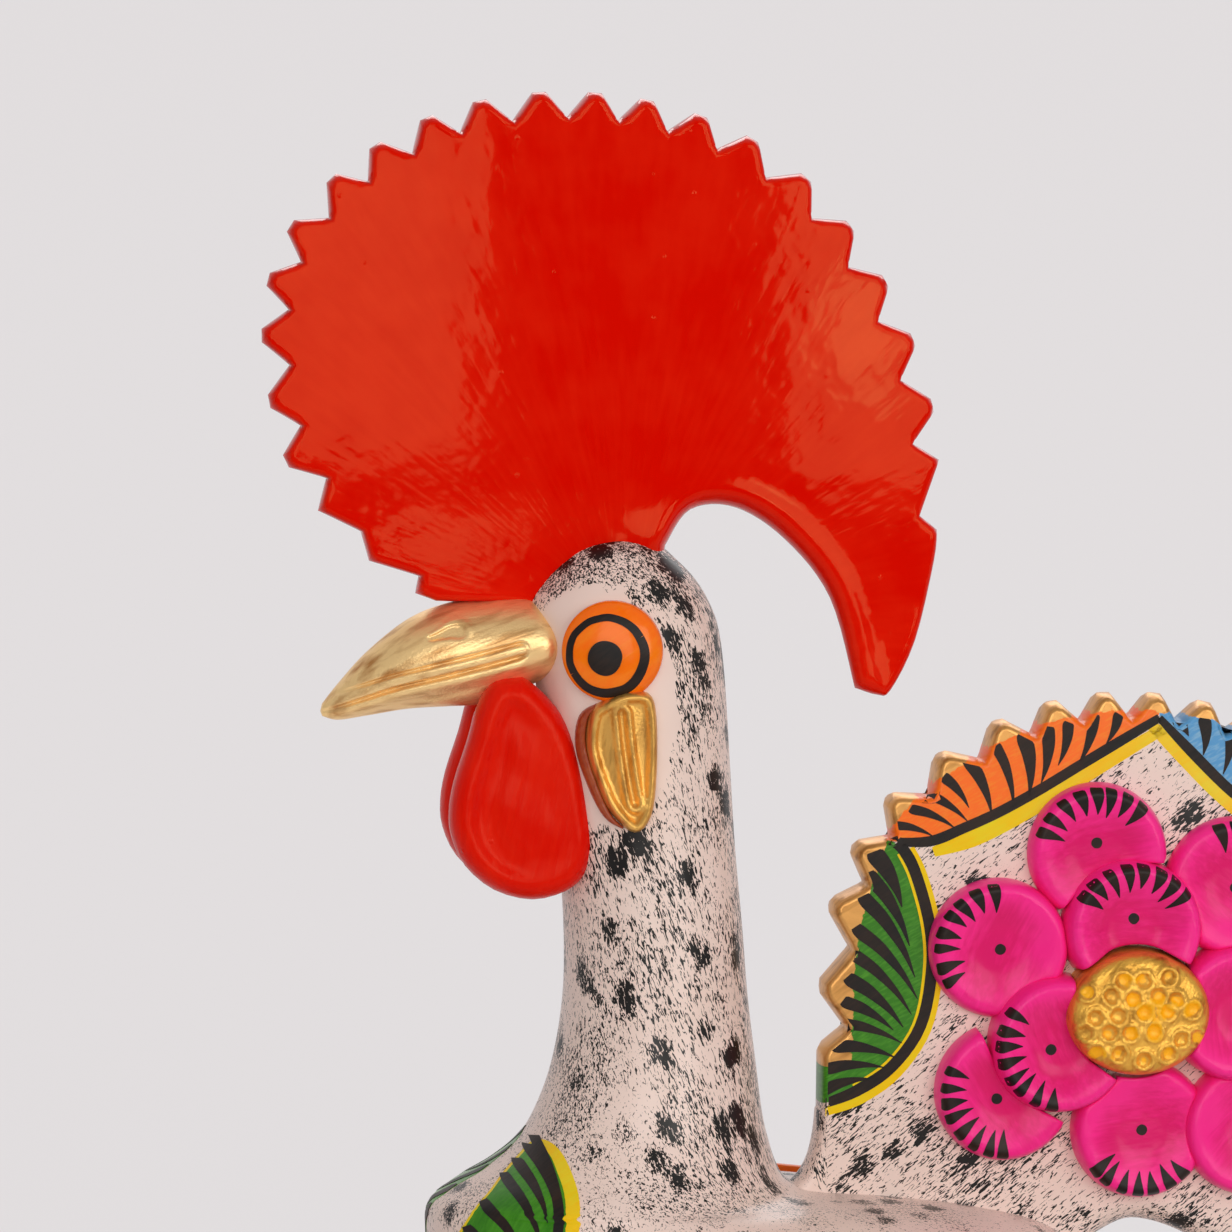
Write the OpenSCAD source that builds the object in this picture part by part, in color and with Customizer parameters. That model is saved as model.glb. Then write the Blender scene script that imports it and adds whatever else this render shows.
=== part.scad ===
// Folk-art cockerel of hand-painted fired clay on a bell foot.
// The beak points to -X, the bird's left side is -Y, and Z is up from the floor.
// The origin is the middle of the foot, on the floor.

/* [Foot] */
// Height of the bell foot up to the seam with the body
base_h = 97; // [80:1:120]
// Radius of the foot ring on the floor
foot_r = 82; // [70:1:95]
// Radius of the waist where the bell meets the body
waist_r = 28; // [25:0.5:32]
// Wall of the bell
base_wall = 7; // [5:0.5:9]
// Height of the straight band at the floor
foot_band = 5; // [3:0.5:8]
// Radius of the locating ring that stands up into the body
spigot_r = 18; // [15:0.5:20]
// Height of that ring
spigot_h = 9; // [6:0.5:12]
// Radius of the drain bore through that ring
drain_r = 12; // [8:0.5:12]

/* [Body] */
// Height of the belly from its seam with the foot to the saddle
body_h = 100; // [85:1:115]
// Reach of the breast in front of the middle of the foot
breast_reach = 82; // [74:1:90]
// Reach of the rump behind the middle of the foot
rump_reach = 43.5; // [40:0.5:45]
// Width across the flanks
body_w = 90; // [80:1:100]
// Clay wall of the body
wall = 6; // [4:0.5:7]

/* [Neck and head] */
// Height from the saddle to the crown
neck_h = 119; // [105:1:135]
// How far the axis of the neck stands in front of the middle of the foot
neck_x = 41; // [39:0.5:43]
// Depth of the neck from front to back where it is slimmest
neck_d = 32; // [29:0.5:35]
// Width of the neck where it is slimmest
neck_w = 32; // [29:0.5:35]

/* [Comb] */
// Length of the comb from its front teeth to its back teeth
comb_len = 123; // [110:1:135]
// Rise of the comb above the crown
comb_rise = 79.5; // [65:0.5:90]
// Drop of the comb's hanging tip below the crown
comb_droop = 29.5; // [24:0.5:34]
// Thickness of the comb
comb_t = 11; // [8:0.5:14]
// Depth that the comb's root goes into the head
comb_plug = 17; // [14:0.5:19]

/* [Teeth] */
// Depth of the saw teeth on the comb and the tail
tooth_depth = 4.6; // [3:0.1:6]
// Blunt width at the end of each tooth
tooth_flat = 2.4; // [1:0.1:3.5]

/* [Beak] */
// Reach of the beak in front of the head
beak_len = 37; // [32:0.5:42]
// Full height of the beak where it is deepest
beak_h = 19; // [16:0.5:21]
// Full width of the beak at the head
beak_w = 24; // [21:0.5:26]

/* [Eyes] */
// Radius of an eye disc
eye_r = 9; // [7:0.25:10]
// How far an eye disc stands out of the head
eye_bulge = 3; // [2:0.25:4]
// Depth of the seat of an eye disc
eye_seat = 4; // [2.5:0.25:5]

/* [Wattles] */
// Length of a wattle from the beak to its lower edge
wattle_len = 38; // [32:0.5:44]
// Width of a wattle from front to back
wattle_w = 25.5; // [22:0.5:29]
// Thickness of a wattle
wattle_t = 9; // [6:0.5:11]
// Distance between the middle planes of the two wattles
wattle_gap = 16; // [13:0.5:19]

/* [Ear lobes] */
// Length of an ear lobe
lobe_len = 24.5; // [20:0.5:28]
// Width of an ear lobe
lobe_w = 12.2; // [9:0.2:15]
// How far an ear lobe stands out of the head
lobe_t = 3.6; // [2:0.2:5]

/* [Tail] */
// Length of the tail fan from its front edge to its back teeth
tail_len = 122; // [112:1:132]
// Rise of the tail fan above the saddle
tail_rise = 89.6; // [78:0.5:100]
// Drop of the tail's hanging tip below the saddle
tail_droop = 46; // [38:0.5:54]
// Thickness of the tail fan
tail_t = 12; // [9:0.5:15]
// Depth that the root of the tail goes into the back
tail_plug = 8; // [5:0.5:9]

/* [Tail flowers] */
// Radius of a petal
petal_r = 12.7; // [11:0.1:14]
// Radius of the ring of outer petals
outer_ring = 28.5; // [27:0.5:31]
// Radius of the ring of inner petals
inner_ring = 15; // [13:0.5:17]
// Height of an outer petal's rim above the tail
outer_petal_h = 5; // [4:0.25:6.5]
// Height of an inner petal's rim above the tail
inner_petal_h = 8.5; // [7:0.25:10]
// Radius of the button in the middle
button_r = 12.6; // [10:0.1:14]
// Height of the button above the tail
button_h = 12; // [9:0.25:14]

/* [Wings] */
// Length of a wing
wing_len = 118; // [100:1:130]
// Height of a wing
wing_h = 71; // [60:1:80]
// Thickness of a wing
wing_t = 6; // [4:0.25:8]

/* [Breast flower] */
// Radius of a breast petal
bloom_r = 9.4; // [8:0.1:10.5]
// Radius of the ring of breast petals
bloom_ring = 14.5; // [13:0.25:16]
// Height of a breast petal above the breast
bloom_h = 3.6; // [2.5:0.1:5]

/* [Legs] */
// Thickness of a leg
leg_t = 9; // [6:0.5:11]
// Length of the middle toe
toe_len = 22; // [16:1:28]

/* [Fits] */
// Gap left round a root or ring in its seat, for the slip that bonds it
fit = 0.2; // [0.1:0.05:0.4]

/* [Hidden] */
$fn = 48;
sides = [["left", -1], ["right", 1]];
bloom_count = 5;
ring_points = 40;
beak_points = 28;

// Heights that several pieces share
saddle_z = base_h + body_h;
crown_z = saddle_z + neck_h;
crown_x = -neck_x - 6;

// Belly rows: share of its height, then shares of the breast's reach, the rump's reach and half the width
belly = [
    [0, 0.34, 0.64, 0.62], [0.07, 0.44, 0.76, 0.73], [0.17, 0.57, 0.85, 0.83], [0.31, 0.71, 0.93, 0.93],
    [0.47, 0.82, 0.99, 0.99], [0.63, 0.91, 1, 1], [0.77, 0.967, 0.96, 0.96], [0.87, 0.996, 0.87, 0.89],
    [0.93, 1, 0.71, 0.81], [0.965, 1, 0.41, 0.75], [0.986, 0.988, 0.05, 0.7], [0.998, 0.97, -0.28, 0.67]
];
// Neck rows: share of its height, shift of its middle in mm, then shares of its depth and its width
neck = [
    [0.017, -5.5, 1.86, 1.75], [0.042, -3.8, 1.64, 1.58], [0.076, -1.9, 1.44, 1.44], [0.118, -0.8, 1.3, 1.31],
    [0.193, 0.3, 1.16, 1.18], [0.294, 0.6, 1.05, 1.08], [0.403, 0.2, 1.01, 1.03], [0.529, -1, 1, 1],
    [0.655, -2.4, 1.03, 1], [0.782, -4, 1.07, 1.02], [0.857, -5.3, 1.08, 1.02], [0.899, -6.3, 1.03, 0.94],
    [0.933, -6.4, 0.88, 0.81], [0.962, -6.5, 0.68, 0.62], [0.985, -6.3, 0.46, 0.42], [1, -6, 0.12, 0.15]
];
// Every row as height, middle, half depth and half width in mm
rows = concat(
    [for (r = belly) let(f = -breast_reach * r[1], b = rump_reach * r[2])
        [base_h + body_h * r[0], (f + b) / 2, (b - f) / 2, body_w / 2 * r[3]]],
    [for (r = neck) [saddle_z + neck_h * r[0], -neck_x + r[1], neck_d / 2 * r[2], neck_w / 2 * r[3]]]
);
function row_value(z, k) = lookup(z, [for (r = rows) [r[0], r[k]]]);
// Distance from the middle plane to the skin at a place seen from the side
function skin_y(x, z) =
    let(u = (x - row_value(z, 1)) / row_value(z, 2)) row_value(z, 3) * sqrt(max(0, 1 - u * u));

// Smooth curve through points: u counts the points passed
function between(a, b, c, d, t) =
    (2 * b + (c - a) * t + (2 * a - 5 * b + 4 * c - d) * t * t + (3 * b - a - 3 * c + d) * t * t * t) / 2;
function curve_at(pts, u) =
    let(last = len(pts) - 1, i = min(floor(u), last - 1))
    between(pts[max(i - 1, 0)], pts[i], pts[i + 1], pts[min(i + 2, last)], u - i);
function curve(pts, steps) = [for (k = [0 : steps * (len(pts) - 1)]) curve_at(pts, k / steps)];
function along(pts, u) =
    let(last = len(pts) - 1, e = 0.05, lo = max(u - e, 0), hi = min(u + e, last))
    (curve_at(pts, hi) - curve_at(pts, lo)) / (hi - lo);
function turn_in(v) = [v.y, -v.x] / norm(v);
// A saw-toothed rim with a tooth's end at each of its points, that runs clockwise
function teeth(pts) = [for (k = [0 : len(pts) - 1])
    let(half = tooth_flat / 2 / norm(along(pts, k)), last = len(pts) - 1, mid = k + 0.5)
    each [
        if (k > 0) curve_at(pts, k - half),
        if (k < last) curve_at(pts, k + half),
        if (k < last) curve_at(pts, mid) + tooth_depth * turn_in(along(pts, mid))
    ]];

// Beak rows: share of its reach, height of its middle below the crown in mm, shares of its height and width
beak_rows = [
    [0, 19.2, 0.6, 0.96], [0.08, 19, 0.8, 1], [0.18, 19.8, 0.95, 0.98], [0.3, 20.8, 1, 0.93],
    [0.45, 21.4, 0.97, 0.86], [0.62, 23, 0.84, 0.72], [0.8, 26.4, 0.6, 0.5], [0.93, 29.6, 0.34, 0.3],
    [1, 31, 0.12, 0.1]
];
beak_back = crown_x - 13.4;
beak_top = crown_z - 12.2;

// Comb outline, in mm from the crown at its usual size
comb_rim = [
    [-53.4, 3.6], [-60, 13.7], [-62.9, 24.4], [-64.2, 36.2], [-63, 46.2], [-59, 55.7], [-51.6, 64.2],
    [-43.8, 70], [-34.6, 74.9], [-25.1, 77.9], [-14.4, 79.4], [-4.3, 79.3], [5.1, 78], [14.8, 75.2],
    [24.1, 71], [33.9, 64], [41.9, 55.3], [48.3, 45.4], [53.4, 34.8], [57, 22.9], [58.4, 11.6]
];
// The last cut of the saw, above the hanging tip
comb_cut = [[54.7, 3]];
comb_front = [[-33.2, -11.6], [-36.8, -10.2], [-36.2, -7.1], [-45.1, -4.3], [-46.6, 1]];
comb_tip = [[57.9, 0.4], [57.4, -5.2], [54, -19.6], [49.5, -28.7], [47, -29.5], [43, -28.2]];
comb_arch = [[43, -28.2], [38.4, -11.8], [30.2, -1.2], [21.1, 4.7], [12.9, 4.4], [8.4, -1.9]];
function comb_point(p) = [
    crown_x + p.x * comb_len / 123,
    crown_z + p.y * (p.y > 0 ? comb_rise / 79.5 : p.x > 20 ? comb_droop / 29.5 : 1)
];
comb_outline = [for (p = concat(
    comb_front, teeth(comb_rim), comb_cut, curve(comb_tip, 3), curve(comb_arch, 4)
)) comb_point(p)];
comb_root = [
    [crown_x + 0.19 * neck_d, crown_z - comb_plug], [crown_x - 0.44 * neck_d, crown_z - comb_plug],
    [crown_x - 0.53 * neck_d, beak_top]
];

// Tail outline, in mm from the saddle over the middle of the foot, at its usual size
tail_front_x = -11;
tail_rim = [
    [0.4, 24], [2.6, 51.3], [13.2, 70.8], [33, 84.4], [52.5, 89.4], [71.3, 87.6],
    [89.5, 80.5], [105, 67.5], [116, 50], [122, 30], [120.5, 9]
];
// The last cut of the saw, above the hanging tip
tail_cut = [[115.8, 3.4]];
tail_tip = [[118.5, 0.2], [115, -12], [106.5, -28], [98, -41], [93.5, -46], [88.5, -43.5]];
tail_arch = [[88.5, -43.5], [84, -28.5], [76.5, -16.5], [67.6, -9.8], [58.2, -7], [51.7, -9.5]];
function tail_point(p) = [
    tail_front_x + p.x * tail_len / 122,
    saddle_z + p.y * (p.y > 0 ? tail_rise / 89.6 : p.x > 60 ? tail_droop / 46 : 1)
];
tail_outline = [for (p = concat(
    [[0, 1.5], [0.3, 14]], teeth(curve(tail_rim, 2)), tail_cut, curve(tail_tip, 3), curve(tail_arch, 4)
)) tail_point(p)];
tail_root = [[tail_front_x + 48, saddle_z - 12 - tail_plug], [tail_front_x, saddle_z - tail_plug]];
// Middle of the tail flower, and its hand-set petals: turn from the top, and shift from the ring in mm
flower_at = [46, saddle_z + 32.4];
outer_petals = [[13, 0.9], [65, -1.3], [122, -0.8], [184, -6.5], [225, 2.5], [272, 0], [320, 0.3]];
inner_petals = [[2, 0], [113, 0], [268, 4]];

// Wing outline, in mm from its shoulder at its usual size
wing_at = [-56, saddle_z - 26];
wing_top = [[0, 0], [10, 14], [27, 23], [49, 22.5], [75, 17], [98, 6.5], [112, -8]];
wing_rim = [[112, -8], [98, -30], [72, -44], [44, -48], [18, -42], [4, -26]];
function wing_point(p) = [wing_at.x + p.x * wing_len / 118, wing_at.y + p.y * wing_h / 71];
wing_outline = [for (p = concat(curve(wing_top, 4), teeth(curve(wing_rim, 2)))) wing_point(p)];

// Breast flower: its place on the breast, how far its face leans down and its petals curl back,
// the turn of its first petal, and how deep it is set in
bloom_z = base_h + 0.69 * body_h;
bloom_lean = 18;
bloom_curl = 18;
bloom_first = 36;
bloom_sink = 3.4;

// Bell foot: outer radius at a height
function bell(z) = waist_r + (foot_r - waist_r) * pow(1 - max(z - foot_band, 0) / (base_h - foot_band), 1.9);

// A lofted stretch between two rings of points
module stretch(a, b) {
    hull() polyhedron(points = concat(a, b), faces = [[for (k = [0 : len(a) + len(b) - 1]) k]]);
}

// A level ring of points on the body's skin, grown outwards by a margin
function body_ring(r, grow) =
    let(a = max(r[2] + grow, 0.3), b = max(r[3] + grow, 0.3))
    [for (k = [0 : ring_points - 1]) let(t = 360 * k / ring_points) [r[1] + a * cos(t), b * sin(t), r[0]]];

// The whole body, neck and head as one solid, grown outwards by a margin
module body_solid(grow = 0) {
    for (k = [0 : len(rows) - 2]) stretch(body_ring(rows[k], grow), body_ring(rows[k + 1], grow));
}

// The hollow inside the body: a wall in from the skin, and clear of the tail's root
module body_hollow() {
    intersection() {
        body_solid(-wall);
        translate([0, 0, -tail_plug - wall]) body_solid(-wall);
    }
    translate([0, 0, base_h - 1]) cylinder(r = drain_r + 2, h = 2 * wall + 8);
}

// An outline in the middle plane, made a plate
module plate(points, thick) {
    rotate([90, 0, 0]) translate([0, 0, -thick / 2]) linear_extrude(thick) polygon(points);
}

module comb_plate(gap = 0) {
    rotate([90, 0, 0]) translate([0, 0, -comb_t / 2 - gap]) linear_extrude(comb_t + 2 * gap)
        offset(delta = gap) polygon(concat(comb_outline, comb_root));
}

module tail_plate(gap = 0) {
    rotate([90, 0, 0]) translate([0, 0, -tail_t / 2 - gap]) linear_extrude(tail_t + 2 * gap)
        offset(delta = gap) polygon(concat(tail_outline, tail_root));
}

// Where an eye sits, its axis leaning forward with the side of the head
eye_x = crown_x - 2.4;
eye_z = crown_z - 19.6;
module at_eye(side) {
    translate([eye_x, side * (skin_y(eye_x, eye_z) - eye_seat), eye_z])
        rotate([0, 0, side * 11]) rotate([side * -90, 0, 0]) children();
}

module base() {
    steps = 24;
    top_in = base_h - base_wall;
    outer = [for (k = [0 : steps]) let(z = base_h * k / steps) [bell(z), z]];
    inner = [for (k = [steps : -1 : 0]) let(z = top_in * k / steps) [max(bell(z) - base_wall, drain_r), z]];
    color("ivory") rotate_extrude($fn = 96) polygon(concat(
        outer, [[spigot_r - fit, base_h], [spigot_r - fit, base_h + spigot_h], [drain_r, base_h + spigot_h]],
        [[drain_r, top_in]], inner
    ));
}

module body_half(side) {
    color("mistyrose") difference() {
        body_solid();
        body_hollow();
        translate([0, 0, base_h - 1]) cylinder(r = spigot_r, h = spigot_h + fit + 1);
        comb_plate(fit);
        tail_plate(fit);
        for (s = sides) at_eye(s[1]) cylinder(r = eye_r + fit, h = 2 * eye_r);
        translate([-200, side > 0 ? -200 : 0, 0]) cube([400, 200, 500]);
    }
}

module comb() {
    color("red") plate(concat(comb_outline, comb_root), comb_t);
}

module tail_fan() {
    color("mistyrose") plate(concat(tail_outline, tail_root), tail_t);
}

// An upright ring of points on the beak's skin
function beak_ring(r) = [for (k = [0 : beak_points - 1]) let(t = 360 * k / beak_points)
    [beak_back - beak_len * r[0] * 1.086, beak_w / 2 * r[3] * sin(t), crown_z - r[1] + beak_h / 2 * r[2] * cos(t)]];

module beak_solid() {
    for (k = [0 : len(beak_rows) - 2]) stretch(beak_ring(beak_rows[k]), beak_ring(beak_rows[k + 1]));
}

module beak() {
    color("goldenrod") difference() {
        beak_solid();
        body_solid();
        comb_plate(fit);
    }
}

module eye(side) {
    color("darkorange") at_eye(side) rotate_extrude() polygon(concat(
        [[0, 0], [eye_r, 0], [eye_r, eye_seat]],
        [for (t = [10 : 10 : 90]) [eye_r * cos(t), eye_seat + eye_bulge * sin(t)]]
    ));
}

// Left and right wattles hang under the beak against the front of the neck
module wattle_solid(side) {
    top = crown_z - 30;
    x = crown_x - 18.4;
    r = wattle_t / 2;
    translate([x, side * wattle_gap / 2, 0]) hull() {
        translate([0, 0, top]) sphere(r * 0.7, $fn = 20);
        for (p = [[-0.5, 0.6], [0.5, 0.66], [-0.38, 0.86], [0.36, 0.9]])
            translate([p.x * (wattle_w - wattle_t), 0, top - p.y * (wattle_len - r)]) sphere(r, $fn = 20);
        translate([0, 0, top - wattle_len + 2 * r]) sphere(r, $fn = 20);
    }
}

module wattle(side) {
    color("red") difference() {
        wattle_solid(side);
        body_solid();
        beak_solid();
    }
}

module ear_lobe(side) {
    top = crown_z - 28.4;
    x = crown_x - 1.2;
    lean = (skin_y(x, top) - skin_y(x, top - lobe_len)) / lobe_len;
    color("goldenrod") difference() {
        hull() for (p = [[-0.32, 0.12], [0.36, 0.1], [-0.3, 0.52], [0.42, 0.56], [0.2, 1]]) {
            z = top - p.y * (lobe_len - lobe_w / 5);
            big = p.y > 0.9 ? 0.16 : 0.24;
            translate([x + p.x * (lobe_w - lobe_w / 2), side * (skin_y(x, z)), z])
                scale([1, lobe_t / (lobe_w * big), 1]) sphere(lobe_w * big, $fn = 20);
        }
        body_solid();
        at_eye(side) cylinder(r = eye_r + fit, h = 3 * eye_r, center = true);
    }
}

// A wing is cut from the space between two nested shells round the flank
module flank_shell(y) {
    translate([-12, 0, base_h + body_h * 0.55]) scale([100, y, 95]) sphere(1, $fn = 72);
}

module wing(side) {
    color("mistyrose") difference() {
        intersection() {
            rotate([90, 0, 0]) translate([0, 0, side > 0 ? -body_w : 0]) linear_extrude(body_w)
                polygon(wing_outline);
            flank_shell(body_w / 2 - 1 + wing_t);
        }
        flank_shell(body_w / 2 - 1);
        body_solid();
    }
}

// Legs in relief run down the front of the bell and end in three toes
module leg(side) {
    r = leg_t / 2;
    turn = 180 - side * 24;
    ankle = foot_band + 8;
    top = base_h - 4 - r;
    path = [for (k = [0 : 6]) let(z = top + (ankle - top) * k / 6) [bell(z), z]];
    color("gold") difference() {
        rotate([0, 0, turn]) {
            for (k = [0 : 5]) hull() for (p = [path[k], path[k + 1]])
                translate([p.x, 0, p.y]) sphere(r, $fn = 16);
            for (t = [-24, 0, 24]) hull() {
                translate([path[5].x, 0, path[5].y]) sphere(r, $fn = 16);
                rotate([0, 0, t * 0.5]) translate([foot_r - r, t / 24 * toe_len * 0.3, r]) sphere(r * 0.8, $fn = 16);
            }
        }
        rotate_extrude($fn = 96) polygon(concat([[0, 0]], [for (k = [0 : 24]) let(z = base_h * k / 24) [bell(z), z]],
            [[0, base_h]]));
        translate([0, 0, -10]) cube([400, 400, 20], center = true);
        body_solid();
    }
}

// A cupped petal: raised round the rim and lower in the middle, its foot sunk into the clay under it
module petal_dish(r, h, sunk = 0) {
    lip = h * 0.3;
    rotate_extrude() polygon(concat(
        [[0, -sunk], [r, -sunk]],
        [for (t = [0 : 15 : 165]) [r - lip + lip * cos(t), h - lip + lip * sin(t)]],
        [[r * 0.5, h * 0.72], [0, h * 0.6]]
    ));
}

// The place of one petal of a flower
module at_petal(petal, ring) {
    rotate([0, 0, petal[0]]) translate([0, ring + petal[1], 0]) children();
}

// The room that a piece of the tail flower takes from the petals under it
module petal_room(r) {
    translate([0, 0, -wall]) cylinder(r = r + fit, h = wall + inner_petal_h + button_h);
}

module on_tail(side) {
    translate([flower_at.x, side * tail_t / 2, flower_at.y])
        rotate([90, 0, 0]) mirror([0, 0, side > 0 ? 1 : 0]) children();
}

module tail_outer_petal(side, k) {
    next = outer_petals[(k + 1) % len(outer_petals)];
    color("deeppink") on_tail(side) difference() {
        at_petal(outer_petals[k], outer_ring) petal_dish(petal_r, outer_petal_h);
        at_petal(next, outer_ring) petal_room(petal_r);
        for (p = inner_petals) at_petal(p, inner_ring) petal_room(petal_r);
        petal_room(button_r);
    }
}

module tail_inner_petal(side, k) {
    color("deeppink") on_tail(side) difference() {
        at_petal(inner_petals[k], inner_ring) petal_dish(petal_r, inner_petal_h);
        if (k > 0) at_petal(inner_petals[0], inner_ring) petal_room(petal_r);
        petal_room(button_r);
    }
}

module tail_button(side) {
    edge = button_h * 0.7;
    color("goldenrod") on_tail(side) rotate_extrude() polygon(concat(
        [[0, 0], [button_r, 0]],
        [for (t = [0 : 10 : 90]) [button_r * cos(t), edge + (button_h - edge) * sin(t)]]
    ));
}

module on_breast() {
    translate([row_value(bloom_z, 1) - row_value(bloom_z, 2) + bloom_sink, 0, bloom_z])
        rotate([0, -90 - bloom_lean, 0]) rotate([0, 0, 90]) children();
}

// The place of a breast petal, curled back with the breast
module in_bloom(k) {
    at_petal([bloom_first + k * 360 / bloom_count, 0], bloom_ring) rotate([-bloom_curl, 0, 0]) children();
}

module breast_petal(k) {
    color("deeppink") difference() {
        on_breast() difference() {
            in_bloom(k) petal_dish(bloom_r, bloom_h + bloom_sink, bloom_sink, $fn = 24);
            in_bloom(k + 1) petal_room(bloom_r, $fn = 24);
            petal_room(bloom_r, $fn = 24);
        }
        body_solid();
    }
}

module breast_button() {
    color("goldenrod") difference() {
        on_breast() cylinder(r1 = bloom_r, r2 = bloom_r * 0.7, h = bloom_h + bloom_sink, $fn = 24);
        body_solid();
    }
}

base();
for (s = sides) body_half(s[1]);
tail_fan();
comb();
beak();
for (s = sides) {
    eye(s[1]);
    wattle(s[1]);
    ear_lobe(s[1]);
    wing(s[1]);
    leg(s[1]);
    for (k = [1 : len(outer_petals)])
        tail_outer_petal(s[1], k - 1);
    for (k = [1 : len(inner_petals)])
        tail_inner_petal(s[1], k - 1);
    tail_button(s[1]);
}
for (k = [1 : bloom_count]) breast_petal(k - 1);
breast_button();
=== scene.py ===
"""Painted clay cockerel on a bell foot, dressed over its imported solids.

The beak points to -X, the bird's left side is -Y and Z is up. Sizes are in millimetres and are
turned to metres where a mesh is made. The driving sizes are those of the solids.
"""

import logging
import math
import random
from dataclasses import dataclass, field
from enum import Enum
from typing import Callable, Sequence

import bmesh
import bpy
import numpy as np
from mathutils import Matrix, Vector
from mathutils.geometry import delaunay_2d_cdt


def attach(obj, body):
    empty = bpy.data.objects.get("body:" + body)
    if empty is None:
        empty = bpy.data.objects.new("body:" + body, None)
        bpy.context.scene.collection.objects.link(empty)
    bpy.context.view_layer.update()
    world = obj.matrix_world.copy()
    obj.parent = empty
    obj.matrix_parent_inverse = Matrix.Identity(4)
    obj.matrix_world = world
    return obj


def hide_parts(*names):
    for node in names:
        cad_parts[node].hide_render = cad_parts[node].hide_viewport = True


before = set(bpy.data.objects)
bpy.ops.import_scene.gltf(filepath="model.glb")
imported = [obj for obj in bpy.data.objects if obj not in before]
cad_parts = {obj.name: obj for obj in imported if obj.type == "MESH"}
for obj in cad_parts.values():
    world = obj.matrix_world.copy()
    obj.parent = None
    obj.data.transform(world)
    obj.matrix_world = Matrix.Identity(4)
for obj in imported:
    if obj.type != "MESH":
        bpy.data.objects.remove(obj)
LOG = logging.getLogger("cockerel")
MM = 0.001
# Spots measured at a time, which keeps the tables of distances small
BATCH = 2000

Array = np.ndarray
Place = Callable[[Array, Array], Array]
Height = Callable[[Array, Array], Array]
Measure = Callable[[Array], Array]
Tree = bpy.types.NodeTree
Wire = bpy.types.Node | bpy.types.NodeSocket


class Side(Enum):
    """The two sides of the bird, with the sign of Y on each."""

    LEFT = -1.0
    RIGHT = 1.0

    @property
    def word(self) -> str:
        """The side's name as the solids use it."""
        return self.name.lower()


class Paint(Enum):
    """The painter's colours, each as a main and a second sRGB colour."""

    BLACK = ("120e0d", "2c1c14")
    GREEN = ("2f7804", "4a951c")
    ORANGE = ("ff6e04", "fd8414")
    BLUE = ("4f97cc", "86b4d2")
    YELLOW = ("f6c400", "ecd420")
    PINK = ("e0186a", "fc2a8e")
    RED = ("dc0b00", "e21a06")
    BROWN = ("9a3a22", "b45a30")


# Flat shapes

def curve_at(points: Array, u: float) -> Array:
    """Point of a smooth curve through the given points.

    Args:
        points: the points passed, one a row.
        u: how many points have been passed.

    Returns:
        The point, with as many coordinates as a row has.
    """
    last = len(points) - 1
    i = min(int(u), last - 1)
    t = u - i
    a, b = points[max(i - 1, 0)], points[i]
    c, d = points[i + 1], points[min(i + 2, last)]
    bend, twist = 2 * a - 5 * b + 4 * c - d, 3 * b - a - 3 * c + d
    return (2 * b + (c - a) * t + bend * t * t + twist * t ** 3) / 2


def curve(points: Sequence, steps: int) -> Array:
    """Smooth curve through points, with a number of steps between each two."""
    rows = np.asarray(points, float)
    return np.array([curve_at(rows, k / steps) for k in range(steps * (len(rows) - 1) + 1)])


def closed_curve(points: Sequence, steps: int) -> Array:
    """Smooth curve through points and back to the first, which isn't repeated."""
    return curve([*points, points[0]], steps)[:-1]


def turns_round(count: int) -> Array:
    """Turns in radians, spread evenly round a circle."""
    return np.linspace(0, 2 * math.pi, count, endpoint=False)


def oval(count: int, half_x: Array | float, half_y: Array | float) -> Array:
    """Points spread round an oval."""
    turns = turns_round(count)
    return np.column_stack([half_x * np.cos(turns), half_y * np.sin(turns)])


def cos_sin(degrees: float) -> tuple[float, float]:
    """Cosine and sine of an angle."""
    return math.cos(math.radians(degrees)), math.sin(math.radians(degrees))


def saw_teeth(rim: Sequence, depth: float = 4.6, flat: float = 2.4) -> Array:
    """Saw-toothed rim with a tooth's end at each point, that runs clockwise.

    Args:
        rim: the points that the teeth's blunt ends pass.
        depth: how deep the valleys are cut in.
        flat: width of a blunt end.

    Returns:
        The outline's points.
    """
    rows = np.asarray(rim, float)
    last = len(rows) - 1

    def run(u: float) -> Array:
        """The curve's direction and speed."""
        low, high = max(u - 0.05, 0), min(u + 0.05, last)
        return (curve_at(rows, high) - curve_at(rows, low)) / (high - low)

    out = []
    for k in range(last + 1):
        half = flat / 2 / np.linalg.norm(run(k))
        if k > 0:
            out.append(curve_at(rows, k - half))
        if k < last:
            way = run(k + 0.5)
            out.append(curve_at(rows, k + half))
            out.append(curve_at(rows, k + 0.5) + depth * np.array([way[1], -way[0]]) / np.linalg.norm(way))
    return np.array(out)


def line_distance(spots: Array, line: Array, closed: bool) -> Array:
    """Shortest distance from each spot to a line of points."""
    start = line if closed else line[:-1]
    run = (np.roll(line, -1, axis=0) if closed else line[1:]) - start
    size = np.maximum((run ** 2).sum(1), 1e-12)
    out = np.empty(len(spots))
    for first in range(0, len(spots), BATCH):
        away = spots[first:first + BATCH, None] - start[None]
        t = np.clip((away * run).sum(2) / size, 0, 1)
        out[first:first + BATCH] = np.sqrt(((away - t[..., None] * run) ** 2).sum(2).min(1))
    return out


def inside(spots: Array, loop: Array) -> Array:
    """Whether each spot is inside a closed outline."""
    x, y = spots[:, 0, None], spots[:, 1, None]
    x0, y0 = loop[:, 0], loop[:, 1]
    x1, y1 = np.roll(x0, -1), np.roll(y0, -1)
    crosses = (y0 > y) != (y1 > y)
    rise = np.where(y1 == y0, 1e-12, y1 - y0)
    return (crosses & (x < (x1 - x0) * (y - y0) / rise + x0)).sum(1) % 2 == 1


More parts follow.
